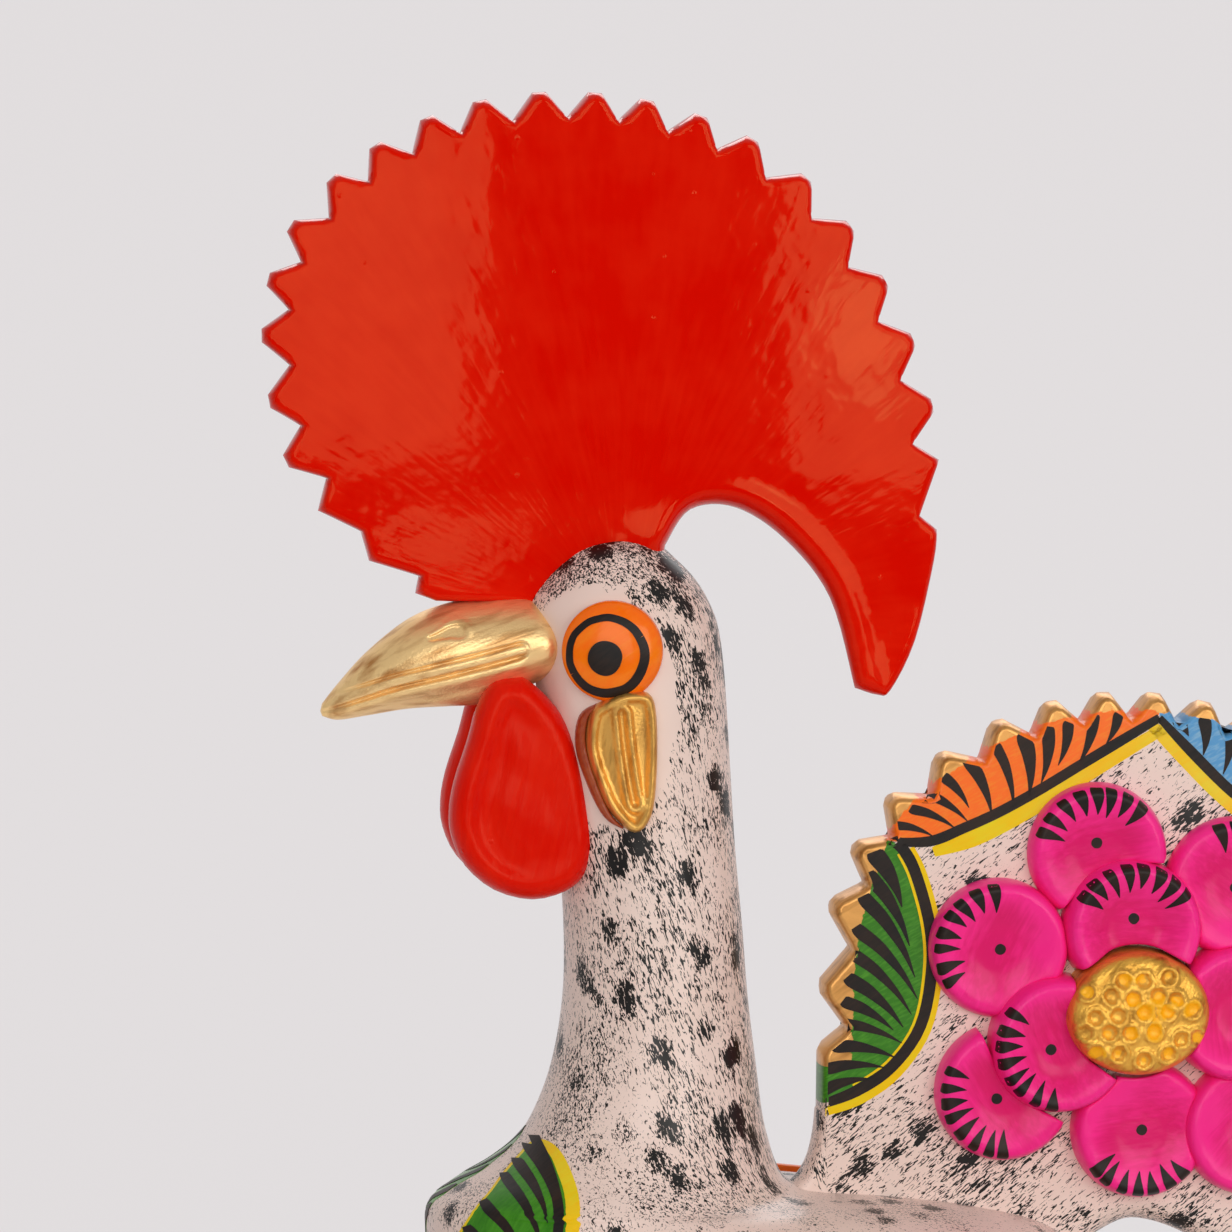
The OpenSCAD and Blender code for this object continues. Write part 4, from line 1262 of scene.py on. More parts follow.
@dataclass
class Petal:
    """One cupped petal with black ticks along its outer rim and a dot."""

    seat: Seat
    turn: float
    ring: float
    radius: float
    height: float
    sink: float = 0.6
    curl: float = 0.0
    tilt: float = 0.8
    tick_arc: float = 112
    ticks: int = 8
    tick_length: float = 5.0
    covers: list = field(default_factory=list)

    def flat(self, spots: Array, height: Array) -> tuple[Array, Array]:
        """The petal's own flat points and heights, turned to the flower's."""
        c, s = cos_sin(self.curl)
        y = self.ring + spots[:, 1] * c + height * s
        cos, sin = cos_sin(self.turn)
        return (np.column_stack([spots[:, 0] * cos - y * sin, spots[:, 0] * sin + y * cos]),
                height * c - spots[:, 1] * s)

    def place(self, spots: Array, height: Array) -> Array:
        """The petal's own flat points and heights in the bird's frame."""
        return self.seat.place(*self.flat(spots, np.asarray(height, float)))

    def centre(self) -> Array:
        """The petal's middle in the flower's flat frame."""
        return self.flat(np.zeros((1, 2)), np.zeros(1))[0][0]

    def dish(self, spots: Array) -> Array:
        """Height of the petal without its rounded edge: a raised rim round a hollow."""
        far = np.linalg.norm(spots, axis=1) / self.radius
        cup = 0.6 + 0.34 * ramp(far, 0.3, 0.86) - 0.05 * ramp(far, 0.9, 1)
        back = 0.1 * ramp(-spots[:, 1] / self.radius, 0.2, 1)
        return self.height * (cup + back) + self.tilt * spots[:, 0] / self.radius

    def top(self, spots: Array, gap: Array) -> Array:
        """Height of the upper face, rounded off at the rim."""
        rim = self.radius - np.linalg.norm(spots, axis=1)
        return self.dish(spots) * rounding(rim, 1.9) * (0.9 + 0.1 * rounding(gap, 0.5))

    def outline(self) -> Array:
        """The petal's circle, cut short where others lie over it."""
        own = self.centre()
        cos, sin = cos_sin(self.turn)
        out = []
        for x, y in oval(84, 1, 1):
            way, world = np.array([x, y]), np.array([x * cos - y * sin, x * sin + y * cos])
            far = self.radius
            for middle, radius in self.covers:
                off = middle - own
                along = float(world @ off)
                left = along * along - float(off @ off) + (radius - 0.5) ** 2
                if left > 0 and along > 0:
                    far = min(far, max(along - math.sqrt(left), 0.5))
            out.append(way * far)
        return np.array(out)

    def home(self) -> Matrix:
        """The petal's own frame, its origin in its middle."""
        middle, outward, lift = (Vector(self.place(np.array([spot]), np.array([high]))[0])
                                 for spot, high in (((0, 0), 0), ((0, 1), 0), ((0, 0), 1)))
        y, z = (outward - middle).normalized(), (lift - middle).normalized()
        x = y.cross(z)
        made = Matrix((x, y, z)).transposed().to_4x4()
        made.translation = middle
        return made

    def build(self, name: str, node: str, finish: Enamel, marks: Shell, seed: int) -> None:
        """Make the petal and add its ticks and dot to the flower's marks."""
        loop = self.outline()
        shell = Shell().sheet(loop, 0.95, self.top, level(-self.sink), self.place,
                              (0.05, 0.2, 0.5, 0.95, 1.5))
        shell.piece(name, [finish], "pink_enamel", [node], self.home())
        chance = random.Random(seed)
        free = line_distance(np.zeros((1, 2)), loop, True)[0]
        over, under = self.layer(0.1), self.layer(-0.3)
        for k in range(self.ticks):
            share = (k + chance.uniform(-0.12, 0.12)) / (self.ticks - 1)
            way = np.array(cos_sin(90 + self.tick_arc * (share - 0.5)))
            inner = self.radius - self.tick_length - chance.uniform(0, 1.2)
            mark = wedge(way * (self.radius - 0.6), way * inner, chance.uniform(1.8, 2.4), 0.03)
            if depth_inside(mark, loop).min() > 0.4:
                marks.sheet(mark, 0.45, over, under, self.place)
        marks.sheet(blot((0, 0) if free > 3 else (0, 2), 1.0, seed), 0.6, over, under, self.place)

    def layer(self, lift: float) -> Height:
        """Height of the petal plus a layer of paint."""
        return lambda spots, _: self.top(spots, np.full(len(spots), 9.0)) + lift


@dataclass
class Button:
    """Gilded flower middle with rings pressed in by a tube."""

    seat: Seat
    half_across: float = 13.2
    half_up: float = 11.5
    height: float = 12
    ring_radius: float = 1.7
    spacing: float = 4.3

    def cells(self) -> Array:
        """Middles of the pressed rings."""
        chance = random.Random(3)
        out = []
        for row in range(-3, 4):
            for col in range(-3, 4):
                spot = np.array([(col + (row % 2) / 2) * self.spacing, row * self.spacing * 0.84])
                spot += np.array([chance.uniform(-0.9, 0.9) for _ in spot])
                if np.linalg.norm(spot / (np.array([self.half_across, self.half_up]) - 1.6)) < 1:
                    out.append(spot)
        return np.array(out)

    def face(self, spots: Array, gap: Array) -> Array:
        """Height of the dome with its rings."""
        far = np.hypot(spots[:, 0] / self.half_across, spots[:, 1] / self.half_up)
        dome = self.height * (0.8 + 0.2 * np.sqrt(np.maximum(0, 1 - far ** 2))) - 0.7
        away = np.linalg.norm(spots[:, None] - self.cells()[None], axis=2)
        ridge = bump(away, self.ring_radius, 0.3, 0.9).max(1)
        cup = bump(away, 0, self.ring_radius * 0.7, 0.6).max(1)
        edge = (0.75 + 0.25 * rounding(gap, 2.2)) * rounding(gap, 0.6)
        return (dome + (ridge - cup) * ramp(gap, 0.3, 1.4)) * edge

    def paint(self, spots: Array) -> Array:
        """How deep inside a ring's cup each flat point lies, in mm."""
        return self.ring_radius - np.linalg.norm(spots[:, None] - self.cells()[None], axis=2).min(1)

    def build(self, name: str, node: str) -> None:
        """Make the button."""
        loop = oval(96, self.half_across, self.half_up)
        shell = Shell().sheet(loop, 0.5 * self.half_across / 13.2, self.face, level(-0.5), self.seat.place,
                              (0.05, 0.2, 0.45))
        origin, across, up = (np.array(v) for v in (self.seat.origin, self.seat.across, self.seat.up))
        shell.piece(name, [BUTTON_GOLD], "gold_paint", [node], marks={
            "cup": lambda p: self.paint(np.column_stack([(p - origin) @ across, (p - origin) @ up]))})


@dataclass
class TailFlower:
    """Relief flower on one face of the tail fan: seven outer petals, three inner ones and a button."""

    side: Side
    middle: tuple[float, float] = (46, 229.4)
    tail_thick: float = 12
    radius: float = 12.7
    outer_ring: float = 28.5
    inner_ring: float = 15
    outer_height: float = 5
    inner_height: float = 8.5
    # Turn in degrees from the top, anticlockwise as seen from the left, and shift from the ring in mm
    outer: tuple = ((13, 0.9), (65, -1.3), (122, -0.8), (184, -6.5), (225, 2.5), (272, 0), (320, 0.3))
    inner: tuple = ((2, 0), (113, 0), (268, 4))

    def build(self) -> None:
        """Make the petals from the lowest up, then the button and the painted marks."""
        word = self.side.word
        seat = Seat((self.middle[0], self.side.value * self.tail_thick / 2, self.middle[1]),
                    (1, 0, 0), (0, 0, 1), (0, self.side.value, 0))
        marks = Shell()
        outer = [Petal(seat, turn, self.outer_ring + shift, self.radius, self.outer_height)
                 for turn, shift in self.outer]
        inner = [Petal(seat, turn, self.inner_ring + shift, self.radius, self.inner_height, tilt=0.3)
                 for turn, shift in self.inner]
        button = [(np.zeros(2), self.radius)]
        lids = [(p.centre(), self.radius) for p in inner]
        for k, petal in enumerate(outer):
            petal.covers = [(outer[(k + 1) % len(outer)].centre(), self.radius)] + lids + button
            name = f"outer_petal_{word}_{k + 1}"
            petal.build(name, f"tail_{name}", PINK, marks, 20 + k)
        for k, petal in enumerate(inner):
            petal.covers = (lids[:1] if k else []) + button
            name = f"inner_petal_{word}_{k + 1}"
            petal.build(name, f"tail_{name}", PINK, marks, 40 + k)
        marks.piece(f"tail_petal_marks_{word}", [BLACK], "pink_enamel", crease=40)
        Button(seat).build(f"flower_button_{word}", f"tail_button_{word}")


@dataclass
class BreastFlower:
    """Smaller relief flower on the breast, its petals curled back with the clay."""

    body: Body
    height_up: float = 0.69
    lean: float = 18
    curl: float = 18
    first: float = 36
    sink: float = 3.4
    count: int = 5
    radius: float = 9.4
    ring: float = 14.5
    petal_height: float = 3.6

    def build(self) -> None:
        """Make the petals, the button and the painted marks."""
        z = self.body.foot_top + self.height_up * self.body.belly_height
        middle, deep, _ = self.body.row(z)
        cos, sin = cos_sin(self.lean)
        seat = Seat((float(middle - deep) + self.sink, 0, z), (0, 1, 0), (sin, 0, -cos), (-cos, 0, -sin))
        marks = Shell()
        petals = [Petal(seat, self.first + k * 360 / self.count, self.ring, self.radius,
                        self.petal_height + self.sink, self.sink, self.curl, 0.5, 96, 6, 3.4)
                  for k in range(self.count)]
        for k, petal in enumerate(petals):
            petal.covers = [(petals[(k + 1) % self.count].centre(), self.radius), (np.zeros(2), self.radius)]
            petal.build(f"bloom_petal_{k + 1}", f"breast_petal_{k + 1}", PINK, marks, 60 + k)
        marks.piece("breast_petal_marks", [BLACK], "pink_enamel", crease=40)
        half, high = self.radius - 0.6, self.petal_height + self.sink + 1.2
        Button(seat, half, half, high, 1.3, 3.6).build("bloom_button", "breast_button")


@dataclass
class BreastLeaves:
    """Two leaves painted on the breast, each with a black midrib and strokes, edged in yellow."""

    body: Body
    across: float = 0.8
    # The near leaf, as X and height
    near_edge: tuple = (
        (-63.1, 207.9), (-66, 204.9), (-69.1, 202), (-71.8, 199.5), (-74.8, 196.6), (-77.5, 192.2),
        (-78.9, 188.5), (-78.3, 182), (-76, 176), (-72.5, 170), (-68.6, 166.5), (-65.6, 171), (-62.8, 178),
        (-60.6, 185), (-58.4, 191.5), (-57.4, 196), (-57.2, 200.3), (-58, 203.8), (-59.3, 206.6),
        (-61, 207.9))
    near_green: tuple = (
        (-63.2, 207.4), (-65.6, 204.9), (-68.7, 202), (-71.4, 199.5), (-74.4, 196.6), (-77, 192.2),
        (-78.2, 188.5), (-77.6, 182), (-75.4, 176), (-72.1, 170.6), (-69.2, 168), (-66.6, 172.4),
        (-64, 178.8), (-62.1, 185), (-60.4, 191), (-59.8, 196), (-59.6, 200.3), (-60.3, 203.4),
        (-61.2, 205.9))
    near_rib: tuple = (
        (-63.1, 208.2), (-62.1, 205.2), (-61.3, 202.3), (-60.9, 198.6), (-61.1, 194.5), (-62, 189.5),
        (-64, 182), (-67, 173.5))
    near_strokes: tuple = (
        ((-64.3, 206.7), (-61.7, 199), 3), ((-66.4, 204.3), (-62.9, 195.6), 3.4),
        ((-68.9, 202), (-64, 191), 3.2), ((-73.2, 198), (-66, 187), 3.2),
        ((-76.2, 193.6), (-67.6, 182), 3.2), ((-77.9, 188.4), (-68.4, 177.6), 3),
        ((-77.4, 181.8), (-68.6, 173.6), 2.6))
    # The far leaf, as turn in degrees and height
    far_edge: tuple = (
        (176, 208.4), (179.6, 206.9), (181.6, 203.6), (184.6, 201), (184.4, 198.7), (184, 196.6),
        (182.5, 193.6), (178, 189), (170, 184), (158, 179), (146, 177), (137, 183), (132, 190), (133, 196),
        (140, 201), (152, 205), (166, 208))
    far_rib: tuple = ((177, 208.2), (166, 205), (157, 200.5), (151, 194), (148, 187), (147, 180))
    far_strokes: tuple = (
        ((180.6, 205), (162, 199.5), 2.6), ((183, 201.6), (158, 195), 3),
        ((184, 198.2), (154, 190.5), 3), ((183.2, 194.4), (151, 185.5), 3),
        ((178.6, 189.6), (149.6, 181.4), 2.8))

    def __post_init__(self) -> None:
        """Measure the way along the front of the body at each height."""
        rows = self.body.profile
        front = np.column_stack([rows[:, 1] - rows[:, 2], rows[:, 0]])
        self.run = np.concatenate([[0], np.cumsum(np.linalg.norm(np.diff(front, axis=0), axis=1))])

    def flat(self, points: Sequence, as_turns: bool) -> Array:
        """Turns or Xs, and heights, as flat points in mm along the skin."""
        rows = np.asarray(points, float)
        turns = rows[:, 0]
        if not as_turns:
            middle, deep, _ = self.body.row(rows[:, 1])
            turns = 360 - np.degrees(np.arccos(np.clip((rows[:, 0] - middle) / deep, -1, 1)))
        along = np.interp(rows[:, 1], self.body.profile[:, 0], self.run)
        return np.column_stack([turns * self.across, along])

    def place(self, spots: Array, height: Array) -> Array:
        """Flat points and heights above the skin."""
        z = np.interp(spots[:, 1], self.run, self.body.profile[:, 0])
        return self.body.skin(np.radians(spots[:, 0] / self.across), z, height)

    def lay(self, shell: Shell, loop: Array, lift: float, coat: int) -> None:
        """Lay one painted shape on the skin."""
        shell.sheet(loop, 0.8, level(lift), level(-0.3), self.place, coat=coat)

    def build(self) -> None:
        """Lay both leaves."""
        shell = Shell()
        self.lay(shell, self.flat(closed_curve(self.near_edge, 4), False), 0.14, 0)
        self.lay(shell, self.flat(closed_curve(self.near_green, 4), False), 0.2, 1)
        rib = brush_mark(self.near_rib, (1.6, 2.0, 1.9, 1.8, 1.7, 1.6, 1.2, 0.5))
        self.lay(shell, self.flat(rib, False), 0.26, 2)
        for start, end, wide in self.near_strokes:
            self.lay(shell, self.flat(wedge(start, end, wide * 0.62, 0.06), False), 0.26, 2)
        self.lay(shell, closed_curve(self.flat(self.far_edge, True), 4), 0.06, 1)
        self.lay(shell, brush_mark(self.flat(self.far_rib, True), (1.6, 2.2, 2.1, 1.9, 1.3, 0.5)), 0.15, 2)
        for start, end, wide in self.far_strokes:
            a, b = self.flat((start, end), True)
            self.lay(shell, wedge(a, b, wide, 0.06), 0.15, 2)
        shell.piece("breast_leaves", [YELLOW, GREEN, BLACK], "cream_glaze", crease=40)


@dataclass(frozen=True)
class Scallop:
    """A painted lobe that bulges in from a rim, hatched in black and edged in yellow."""

    start: tuple[float, float]
    end: tuple[float, float]
    inward: tuple[float, float]
    bulge: float
    paint: Paint
    strokes: int = 7

    def at(self, share: Array | float, inwards: Array | float) -> Array:
        """The place at a share of the way along the rim and a distance in from it."""
        a, b, way = (np.array(v, float) for v in (self.start, self.end, self.inward))
        return a + (b - a) * share + way * inwards

    def deep(self, share: Array | float) -> Array | float:
        """How far the lobe reaches in at a share of the way along."""
        return self.bulge * (4 * share * (1 - share)) ** 0.75

    def arc(self) -> Array:
        """The lobe's inner edge."""
        t = np.linspace(0, 1, 13)[:, None]
        return self.at(t, self.deep(t))

    def loop(self, beyond: float) -> Array:
        """The lobe with a margin beyond the rim."""
        return np.vstack([self.arc(), self.at(1, -beyond), self.at(0, -beyond)])

    def lay(self, lay: Callable[[Array, int], None], gilt: float) -> None:
        """Lay the yellow band, the black arc and the strokes.

        Args:
            lay: lays an outline in a coat, 0 for yellow and 1 for black.
            gilt: width of the gilding along the rim in mm.
        """
        arc = self.arc()
        lay(brush_mark(arc[1:-1] + np.array(self.inward) * 1.5, [0.8] + [2.1] * 9 + [0.8], 3), 0)
        lay(brush_mark(arc, [1.0] + [1.9] * 11 + [1.0], 3), 1)
        for k in range(self.strokes):
            t = (k + 0.8) / (self.strokes + 0.6)
            deep = self.deep(t)
            if deep > gilt + 1.5:
                tip = self.at(0.5 + (t - 0.5) * 0.72, gilt * 0.4 + deep * 0.82)
                lay(wedge(self.at(t, gilt), tip, 2.3, 0.04), 1)


@dataclass
class Wing:
    """Relief wing on the flank: an orange edge on top and painted lobes on its toothed rim."""

    body: Body
    side: Side
    shoulder: tuple[float, float] = (-56, 171)
    thick: float = 6
    # Flank that the wing lies on: middle, and half sizes of the inner ellipsoid
    flank: tuple = (-12, 152)
    flank_half: tuple = (100, 44, 95)
    # Outline in mm from the shoulder
    top: tuple = ((0, 0), (10, 14), (27, 23), (49, 22.5), (75, 17), (98, 6.5), (112, -8))
    rim: tuple = ((112, -8), (98, -30), (72, -44), (44, -48), (18, -42), (4, -26))

    def __post_init__(self) -> None:
        """Work out the outline and the painted lobes."""
        start = np.array(self.shoulder)
        self.outline = np.vstack([curve(self.top, 5), saw_teeth(curve(self.rim, 2))]) + start
        self.tips = curve(self.rim, 8) + start
        marks = curve(self.rim, 4)[::5] + start
        middle = start + np.array([48, 2])
        self.lobes = []
        for a, b, paint in zip(marks, marks[1:], (Paint.GREEN, Paint.ORANGE, Paint.BLUE, Paint.GREEN)):
            way = middle - (a + b) / 2
            self.lobes.append(Scallop(tuple(a), tuple(b), tuple(way / np.linalg.norm(way)), 15, paint))

    def flank_depth(self, spots: Array, grow: float) -> Array:
        """Distance from the middle plane to the flank shell, grown by a margin."""
        x = (spots[:, 0] - self.flank[0]) / self.flank_half[0]
        z = (spots[:, 1] - self.flank[1]) / self.flank_half[2]
        return (self.flank_half[1] + grow) * np.sqrt(np.maximum(0.01, 1 - x * x - z * z))

    def place(self, spots: Array, height: Array) -> Array:
        """Flat points and heights above the wing's outer face."""
        return upright(self.side.value)(spots, self.flank_depth(spots, self.thick) + height)

    def face(self, spots: Array, gap: Array) -> Array:
        """Height of the outer face: feather bands pressed in, and a soft edge."""
        away = np.linalg.norm(spots - np.array(self.shoulder) - np.array([14, 0]), axis=1)
        bands = bump(away, 34, 1.3, 0.35) + bump(away, 60, 1.3, 0.3)
        return -1.9 * (1 - rounding(gap, 1.9)) - bands * ramp(gap, 3, 7)

    def build(self) -> None:
        """Make the wing, then its painted lines."""
        word = self.side.word
        shell = Shell().sheet(self.outline, 1.5, self.face,
                              lambda s, g: self.flank_depth(s, 0) - self.flank_depth(s, self.thick) + 0.2,
                              self.place, (0.06, 0.3, 0.8, 1.4, 1.9, 3))
        areas = {"green": (0, 3), "orange": (1,), "blue": (2,)}
        marks = {name: self.area([self.lobes[k] for k in group]) for name, group in areas.items()}
        top = curve(self.top, 5) + np.array(self.shoulder)
        orange = marks["orange"]
        marks["orange"] = lambda p: np.maximum(orange(p), 2.4 - line_distance(p[:, [0, 2]], top, False))
        marks["gilt"] = lambda p: 3.4 - line_distance(p[:, [0, 2]], self.tips, False)
        shell.piece(f"wing_relief_{word}", [WING_GLAZE], "cream_glaze", [f"wing_{word}"], marks=marks)
        lines = Shell()

        def lay(loop: Array, coat: int) -> None:
            """Lay one painted shape on the wing."""
            lift = PAINT_LIFTS[coat]
            lines.sheet(loop, 1.3, lambda s, g: self.face(s, line_distance(s, self.outline, True)) + lift,
                        level(-0.9), self.place, coat=coat)

        for lobe in self.lobes:
            lobe.lay(lay, 3.6)
        lay(brush_mark(shifted(curve(self.top, 2), 3.2) + np.array(self.shoulder), [1.3] * 13, 3), 1)
        lines.piece(f"wing_lines_{word}", [YELLOW, BLACK], "cream_glaze", crease=40)

    @staticmethod
    def area(lobes: Sequence[Scallop]) -> Measure:
        """Depth inside any of the lobes, seen from the side."""
        return lambda p: np.max([depth_inside(p[:, [0, 2]], lobe.loop(9)) for lobe in lobes], axis=0)


@dataclass
class Bell:
    """Thrown bell foot: speckled, with painted lobes over a gilded band."""

    height: float = 97
    foot_radius: float = 82
    waist_radius: float = 28
    wall: float = 7
    band: float = 5
    locate_radius: float = 17.8
    locate_height: float = 9
    drain_radius: float = 12
    flat_radius: float = 66
    around: int = 288
    lobe_count: int = 8
    lobe_foot: float = 7
    lobe_height: float = 21

    def radius(self, z: Array | float) -> Array:
        """Outer radius at a height."""
        share = 1 - np.maximum(np.asarray(z, float) - self.band, 0) / (self.height - self.band)
        return self.waist_radius + (self.foot_radius - self.waist_radius) * share ** 1.9

    def place(self, spots: Array, height: Array) -> Array:
        """Flat points, as the way round and height, with heights above the skin."""
        turn = spots[:, 0] / self.flat_radius
        out = self.radius(spots[:, 1]) + np.asarray(height) * 1.35
        return np.column_stack([out * np.cos(turn), out * np.sin(turn), spots[:, 1]])

    def flat(self, points: Array) -> Array:
        """Points of the bell as the way round and height."""
        return np.column_stack([np.arctan2(points[:, 1], points[:, 0]) * self.flat_radius, points[:, 2]])

    def lobes(self) -> list[Scallop]:
        """The painted lobes, one after another round the foot."""
        colours = (Paint.GREEN, Paint.ORANGE, Paint.BLUE, Paint.ORANGE)
        span = 2 * math.pi * self.flat_radius / self.lobe_count
        start = -math.pi * self.flat_radius
        return [Scallop((start + k * span, self.lobe_foot), (start + (k + 1) * span, self.lobe_foot), (0, 1),
                        self.lobe_height, colours[k % 4], 9) for k in range(self.lobe_count)]

    def build(self) -> None:
        """Turn the bell, then lay its painted lines."""
        outer = [(0.0, self.foot_radius - 0.6), (0.25, self.foot_radius - 0.15)]
        heights = np.concatenate([np.arange(0.8, 40, 1.1), np.arange(40, 97, 2.2)])
        outer += [(z, float(self.radius(z))) for z in heights]
        outer += [(self.height, self.waist_radius), (self.height, self.locate_radius)]
        top = self.height + self.locate_height
        outer += [(top, self.locate_radius), (top, self.drain_radius)]
        inner_top = self.height - self.wall
        inner = [(z, max(float(self.radius(z)) - self.wall, self.drain_radius))
                 for z in (inner_top * (1 - k / 24) for k in range(24))]
        inner.append((0.0, self.foot_radius - self.wall + 0.4))
        rings = [level_ring(self.around, 0, r, r, z) for z, r in outer + inner + outer[:1]]
        shell = Shell().loft(np.array(rings))
        lobes = self.lobes()

        def outside(measure: Measure) -> Measure:
            """The same measure on the outside of the bell, and none on the inside."""
            return lambda p: np.where(np.hypot(p[:, 0], p[:, 1]) > self.radius(p[:, 2]) - 2, measure(p), -5)

        def area(paint: Paint) -> Measure:
            """Depth inside the lobes of one colour."""
            mine = [lobe.loop(0) for lobe in lobes if lobe.paint is paint]
            return outside(lambda p: np.max([depth_inside(self.flat(p), loop) for loop in mine], axis=0))

        marks = {name: area(paint) for name, paint in LOBE_COLOURS}
        marks["gilt"] = outside(lambda p: self.lobe_foot - 0.5 - p[:, 2])
        shell.piece("bell_shell", [BELL_GLAZE], "cream_glaze", ["base"], crease=50, marks=marks)
        lines = Shell()

        def lay(loop: Array, coat: int) -> None:
            """Lay one painted shape on the bell."""
            lines.sheet(loop, 1.6, level(PAINT_LIFTS[coat]), level(-0.35), self.place, coat=coat)

        for lobe in lobes:
            lobe.lay(lay, 0.6)
        lines.piece("bell_lines", [YELLOW, BLACK], "cream_glaze", crease=40)


@dataclass
class Leg:
    """One leg in relief down the front of the bell, ending in three toes."""

    bell: Bell
    side: Side
    thick: float = 9
    away: float = 24
    spread: float = 12

    def tube(self, path: Array, radii: Sequence[float], shell: Shell, coat: int = 0) -> None:
        """Add a round limb along a path, closed at both ends."""
        rows = curve(np.column_stack([path, radii]), 5)
        way = np.gradient(rows[:, :3], axis=0)
        way /= np.linalg.norm(way, axis=1)[:, None]
        outward = np.array([rows[:, 0].mean(), rows[:, 1].mean(), 0])
        side = np.cross(way, outward)
        side /= np.linalg.norm(side, axis=1)[:, None]
        up = np.cross(side, way)
        circle = oval(24, 1, 1)
        rings = np.array([p + r * (circle[:, :1] * s + circle[:, 1:] * u)
                          for p, r, s, u in zip(rows[:, :3], rows[:, 3], side, up)])
        shell.loft(rings, coat, rows[0, :3], rows[-1, :3])

    def build(self) -> None:
        """Make the shank and the toes."""
        r = self.thick / 2
        turn = math.radians(180 - self.side.value * self.away)
        ankle = self.bell.band + 8
        top = self.bell.height - 4 - r

        def spot(angle: float, radius: float, z: float) -> tuple[float, float, float]:
            """A point round the bell."""
            return (radius * math.cos(angle), radius * math.sin(angle), z)

        heights = np.linspace(top + 3, ankle - 2, 19)
        path = np.array([spot(turn, float(self.bell.radius(z)), z) for z in heights])
        radii = [r * (0.5 if k == 0 else 0.92 + 0.09 * (k % 2)) for k in range(19)]
        shell = Shell()
        self.tube(path, radii, shell)
        for share in (-1, 0, 1):
            angle = turn + math.radians(self.spread * share)
            knee = spot(turn, float(self.bell.radius(ankle + 2)) + 0.5, ankle + 2)
            tip = spot(angle, self.bell.foot_radius - r * 0.6, r * 0.9)
            middle = (np.array(knee) + np.array(tip)) / 2 + np.array([0, 0, 0.6])
            toe = curve([knee, tuple(middle), tip], 3)
            self.tube(toe, [r * 0.9, r * 0.84, r * 0.92, r * 0.82, r * 0.9, r * 0.72, r * 0.3], shell)
        shell.piece(f"leg_relief_{self.side.word}", [LEG_YELLOW], "yellow_enamel", [f"leg_{self.side.word}"])


@dataclass(frozen=True)
class Lamp:
    """A soft box that faces the bird: angles in degrees, metres, watts and a linear colour."""

    name: str
    azimuth: float
    elevation: float
    far: float
    size: tuple[float, float]
    power: float
    colour: tuple[float, float, float]

    def light(self) -> bpy.types.Light:
        """The light itself; a small one is round."""
        data = bpy.data.lights.new(self.name, "AREA")
        data.shape = "RECTANGLE" if self.size[0] > 0.3 else "ELLIPSE"
        data.size, data.size_y = self.size
        data.energy, data.color = self.power, self.colour
        return data


LAMPS = (
    Lamp("soft_box_right", 26, 12, 2.0, (0.95, 1.3), 12, (1, 0.975, 0.94)),
    Lamp("soft_box_left", -12, 13, 2.0, (0.95, 1.3), 10.5, (1, 0.98, 0.95)),
    Lamp("bulb_in_box", 16.2, 0.6, 1.9, (0.12, 0.18), 0.22, (1, 0.93, 0.8)),
    Lamp("floor_bounce", -0.4, -8, 2.0, (0.2, 0.1), 0.16, (1, 0.97, 0.95)),
    Lamp("back_light", 165, 35, 2.2, (1.8, 1.2), 12, (1, 1, 1)),
)


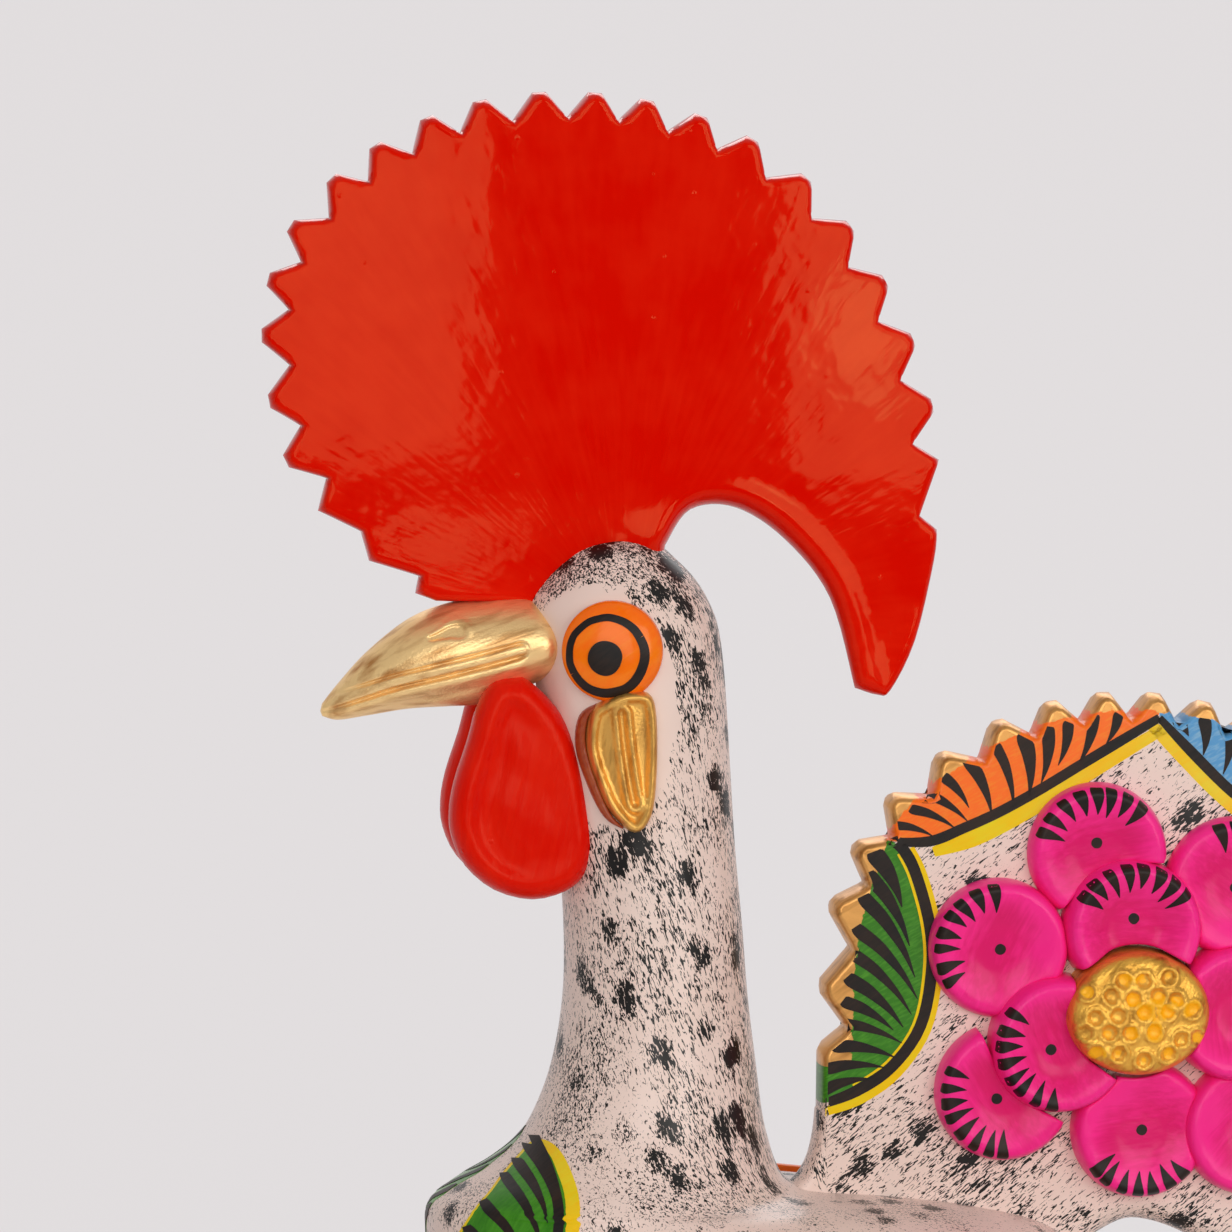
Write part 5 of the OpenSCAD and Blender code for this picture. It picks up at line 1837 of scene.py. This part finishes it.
@dataclass
class Studio:
    """Pale sweep, soft lamps at a plain level and the camera at the photo's angle."""

    azimuth: float = -7
    elevation: float = 5
    distance: float = 1.3
    target: tuple[float, float, float] = (-0.0475, 0, 0.3013)
    frame_width: float = 0.22176
    ground: str = "e7e3e4"
    room_light: float = 0.5
    door_azimuth: float = 7
    door_half: float = 6
    paper_front: float = -0.75

    def build(self) -> None:
        """Set up the view, the floor, the lamps and the world."""
        bpy.context.scene.view_settings.view_transform = "Standard"
        self.camera()
        self.sweep()
        for lamp in LAMPS:
            box = self.aim(lamp.name, lamp.light(), lamp.azimuth, lamp.elevation, (-0.02, 0, 0.25), lamp.far)
            box.visible_camera = False
        self.world()

    @staticmethod
    def aim(name: str, data: bpy.types.ID, azimuth: float, elevation: float, target: tuple,
            far: float) -> bpy.types.Object:
        """Place a camera or a lamp that looks at a target.

        Args:
            name: the object's name.
            data: the camera or lamp.
            azimuth: from the bird's left side towards the tail, in degrees.
            elevation: above the floor, in degrees.
            target: what it looks at, in metres.
            far: distance from the target in metres.

        Returns:
            The new object.
        """
        (cos, sin), (flat, rise) = cos_sin(azimuth), cos_sin(elevation)
        way = Vector((sin * flat, -cos * flat, rise))
        obj = linked(name, data)
        obj.location = Vector(target) + way * far
        obj.rotation_euler = way.to_track_quat("Z", "Y").to_euler()
        return obj

    def camera(self) -> None:
        """Place the camera."""
        data = bpy.data.cameras.new("photo_view")
        data.sensor_width = 36
        data.lens = data.sensor_width * self.distance / self.frame_width
        data.clip_end = 50
        bpy.context.scene.camera = self.aim("photo_view", data, self.azimuth, self.elevation, self.target,
                                            self.distance)

    @staticmethod
    def seen(tree: Tree, *rays: str) -> Wire:
        """1 for the camera's rays and the other kinds that are named, else 0."""
        path = add_node(tree, "LightPath").outputs
        out = path["Is Camera Ray"]
        for ray in rays:
            out = add_node(tree, "Math", {0: out, 1: path[ray]}, operation="MAXIMUM")
        return out

    def sweep(self) -> None:
        """Floor that curves up into a backdrop, with the object's shadow kept."""
        start, bend, half_width = 1.4, 0.8, 4.0
        profile = [(self.paper_front, 0.0)]
        for turn in np.linspace(0, 90, 10):
            cos, sin = cos_sin(turn)
            profile.append((start + bend * sin, bend - bend * cos))
        profile.append((start + bend, 3.2))
        points = [(x, y, z - 0.0002) for y, z in profile for x in (-half_width, half_width)]
        faces = [(2 * k, 2 * k + 1, 2 * k + 3, 2 * k + 2) for k in range(len(profile) - 1)]
        mesh = bpy.data.meshes.new("paper_sweep")
        mesh.from_pydata(points, [], faces)
        mesh.shade_smooth()
        paper = bpy.data.materials.new("seamless_paper")
        tree = cleared(paper)
        shade = add_node(tree, "BsdfDiffuse", {"Color": linear("d9d6d6")})
        glow = add_node(tree, "Emission", {"Color": linear(self.ground), "Strength": 1.0})
        shown = self.seen(tree, "Is Glossy Ray", "Is Transmission Ray")
        share = add_node(tree, "Math", {0: shown, 1: 0.85}, operation="MULTIPLY")
        mix = add_node(tree, "MixShader", {0: share, 1: shade, 2: glow})
        add_node(tree, "OutputMaterial", {"Surface": mix})
        mesh.materials.append(paper)
        linked("paper_sweep", mesh)

    def world(self) -> None:
        """Pale room with a dark doorway behind the camera, and the pale ground where it is looked at."""
        world = bpy.context.scene.world = bpy.data.worlds.new("white_room")
        tree = cleared(world)
        way = add_node(tree, "TexCoord").outputs["Generated"]
        look = add_node(tree, "SeparateXYZ", {0: way}).outputs
        ahead = add_node(tree, "Math", {0: look["Y"], 1: -1.0}, operation="MULTIPLY")
        azimuth = add_node(tree, "Math", {0: look["X"], 1: ahead}, operation="ARCTAN2")
        aside = add_node(tree, "Math", {0: azimuth, 1: math.radians(self.door_azimuth)}, operation="SUBTRACT")
        away = add_node(tree, "Math", {0: aside}, operation="ABSOLUTE")
        edge = math.radians(self.door_half)
        door = add_node(tree, "MapRange", {"Value": away, "From Min": edge * 0.96, "From Max": edge * 1.04,
                                           "To Min": 0.02, "To Max": self.room_light})
        # The room's own floor is dark in front of the paper
        floor = add_node(tree, "MapRange", {"Value": look["Z"], "From Min": -0.06, "From Max": 0.02,
                                            "To Min": 0.05, "To Max": 1.0})
        facing = add_node(tree, "MapRange", {"Value": ahead, "From Min": 0.0, "From Max": 0.3,
                                             "To Min": 1.0, "To Max": floor})
        wall = add_node(tree, "Math", {0: door, 1: facing}, operation="MULTIPLY")
        room = add_node(tree, "Background", {"Color": (1, 0.99, 0.985, 1), "Strength": wall})
        ground = add_node(tree, "Background", {"Color": linear(self.ground), "Strength": 1.0})
        mix = add_node(tree, "MixShader", {0: self.seen(tree, "Is Transmission Ray"), 1: room, 2: ground})
        add_node(tree, "OutputWorld", {"Surface": mix})


def main() -> None:
    """Build every sub-assembly, then the studio."""
    logging.basicConfig(level=logging.INFO, format="%(message)s")
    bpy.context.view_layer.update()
    body = Body()
    body.build()
    Comb(body).build()
    Tail(body).build()
    Beak(body).build()
    for side in Side:
        Eye(body, side).build()
        Wattle(side).build()
        EarLobe(body, side).build()
        TailFlower(side).build()
    BreastFlower(body).build()
    BreastLeaves(body).build()
    for side in Side:
        Wing(body, side).build()
    bell = Bell()
    bell.build()
    for side in Side:
        Leg(bell, side).build()
    Studio().build()
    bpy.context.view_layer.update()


if __name__ == "__main__":
    main()
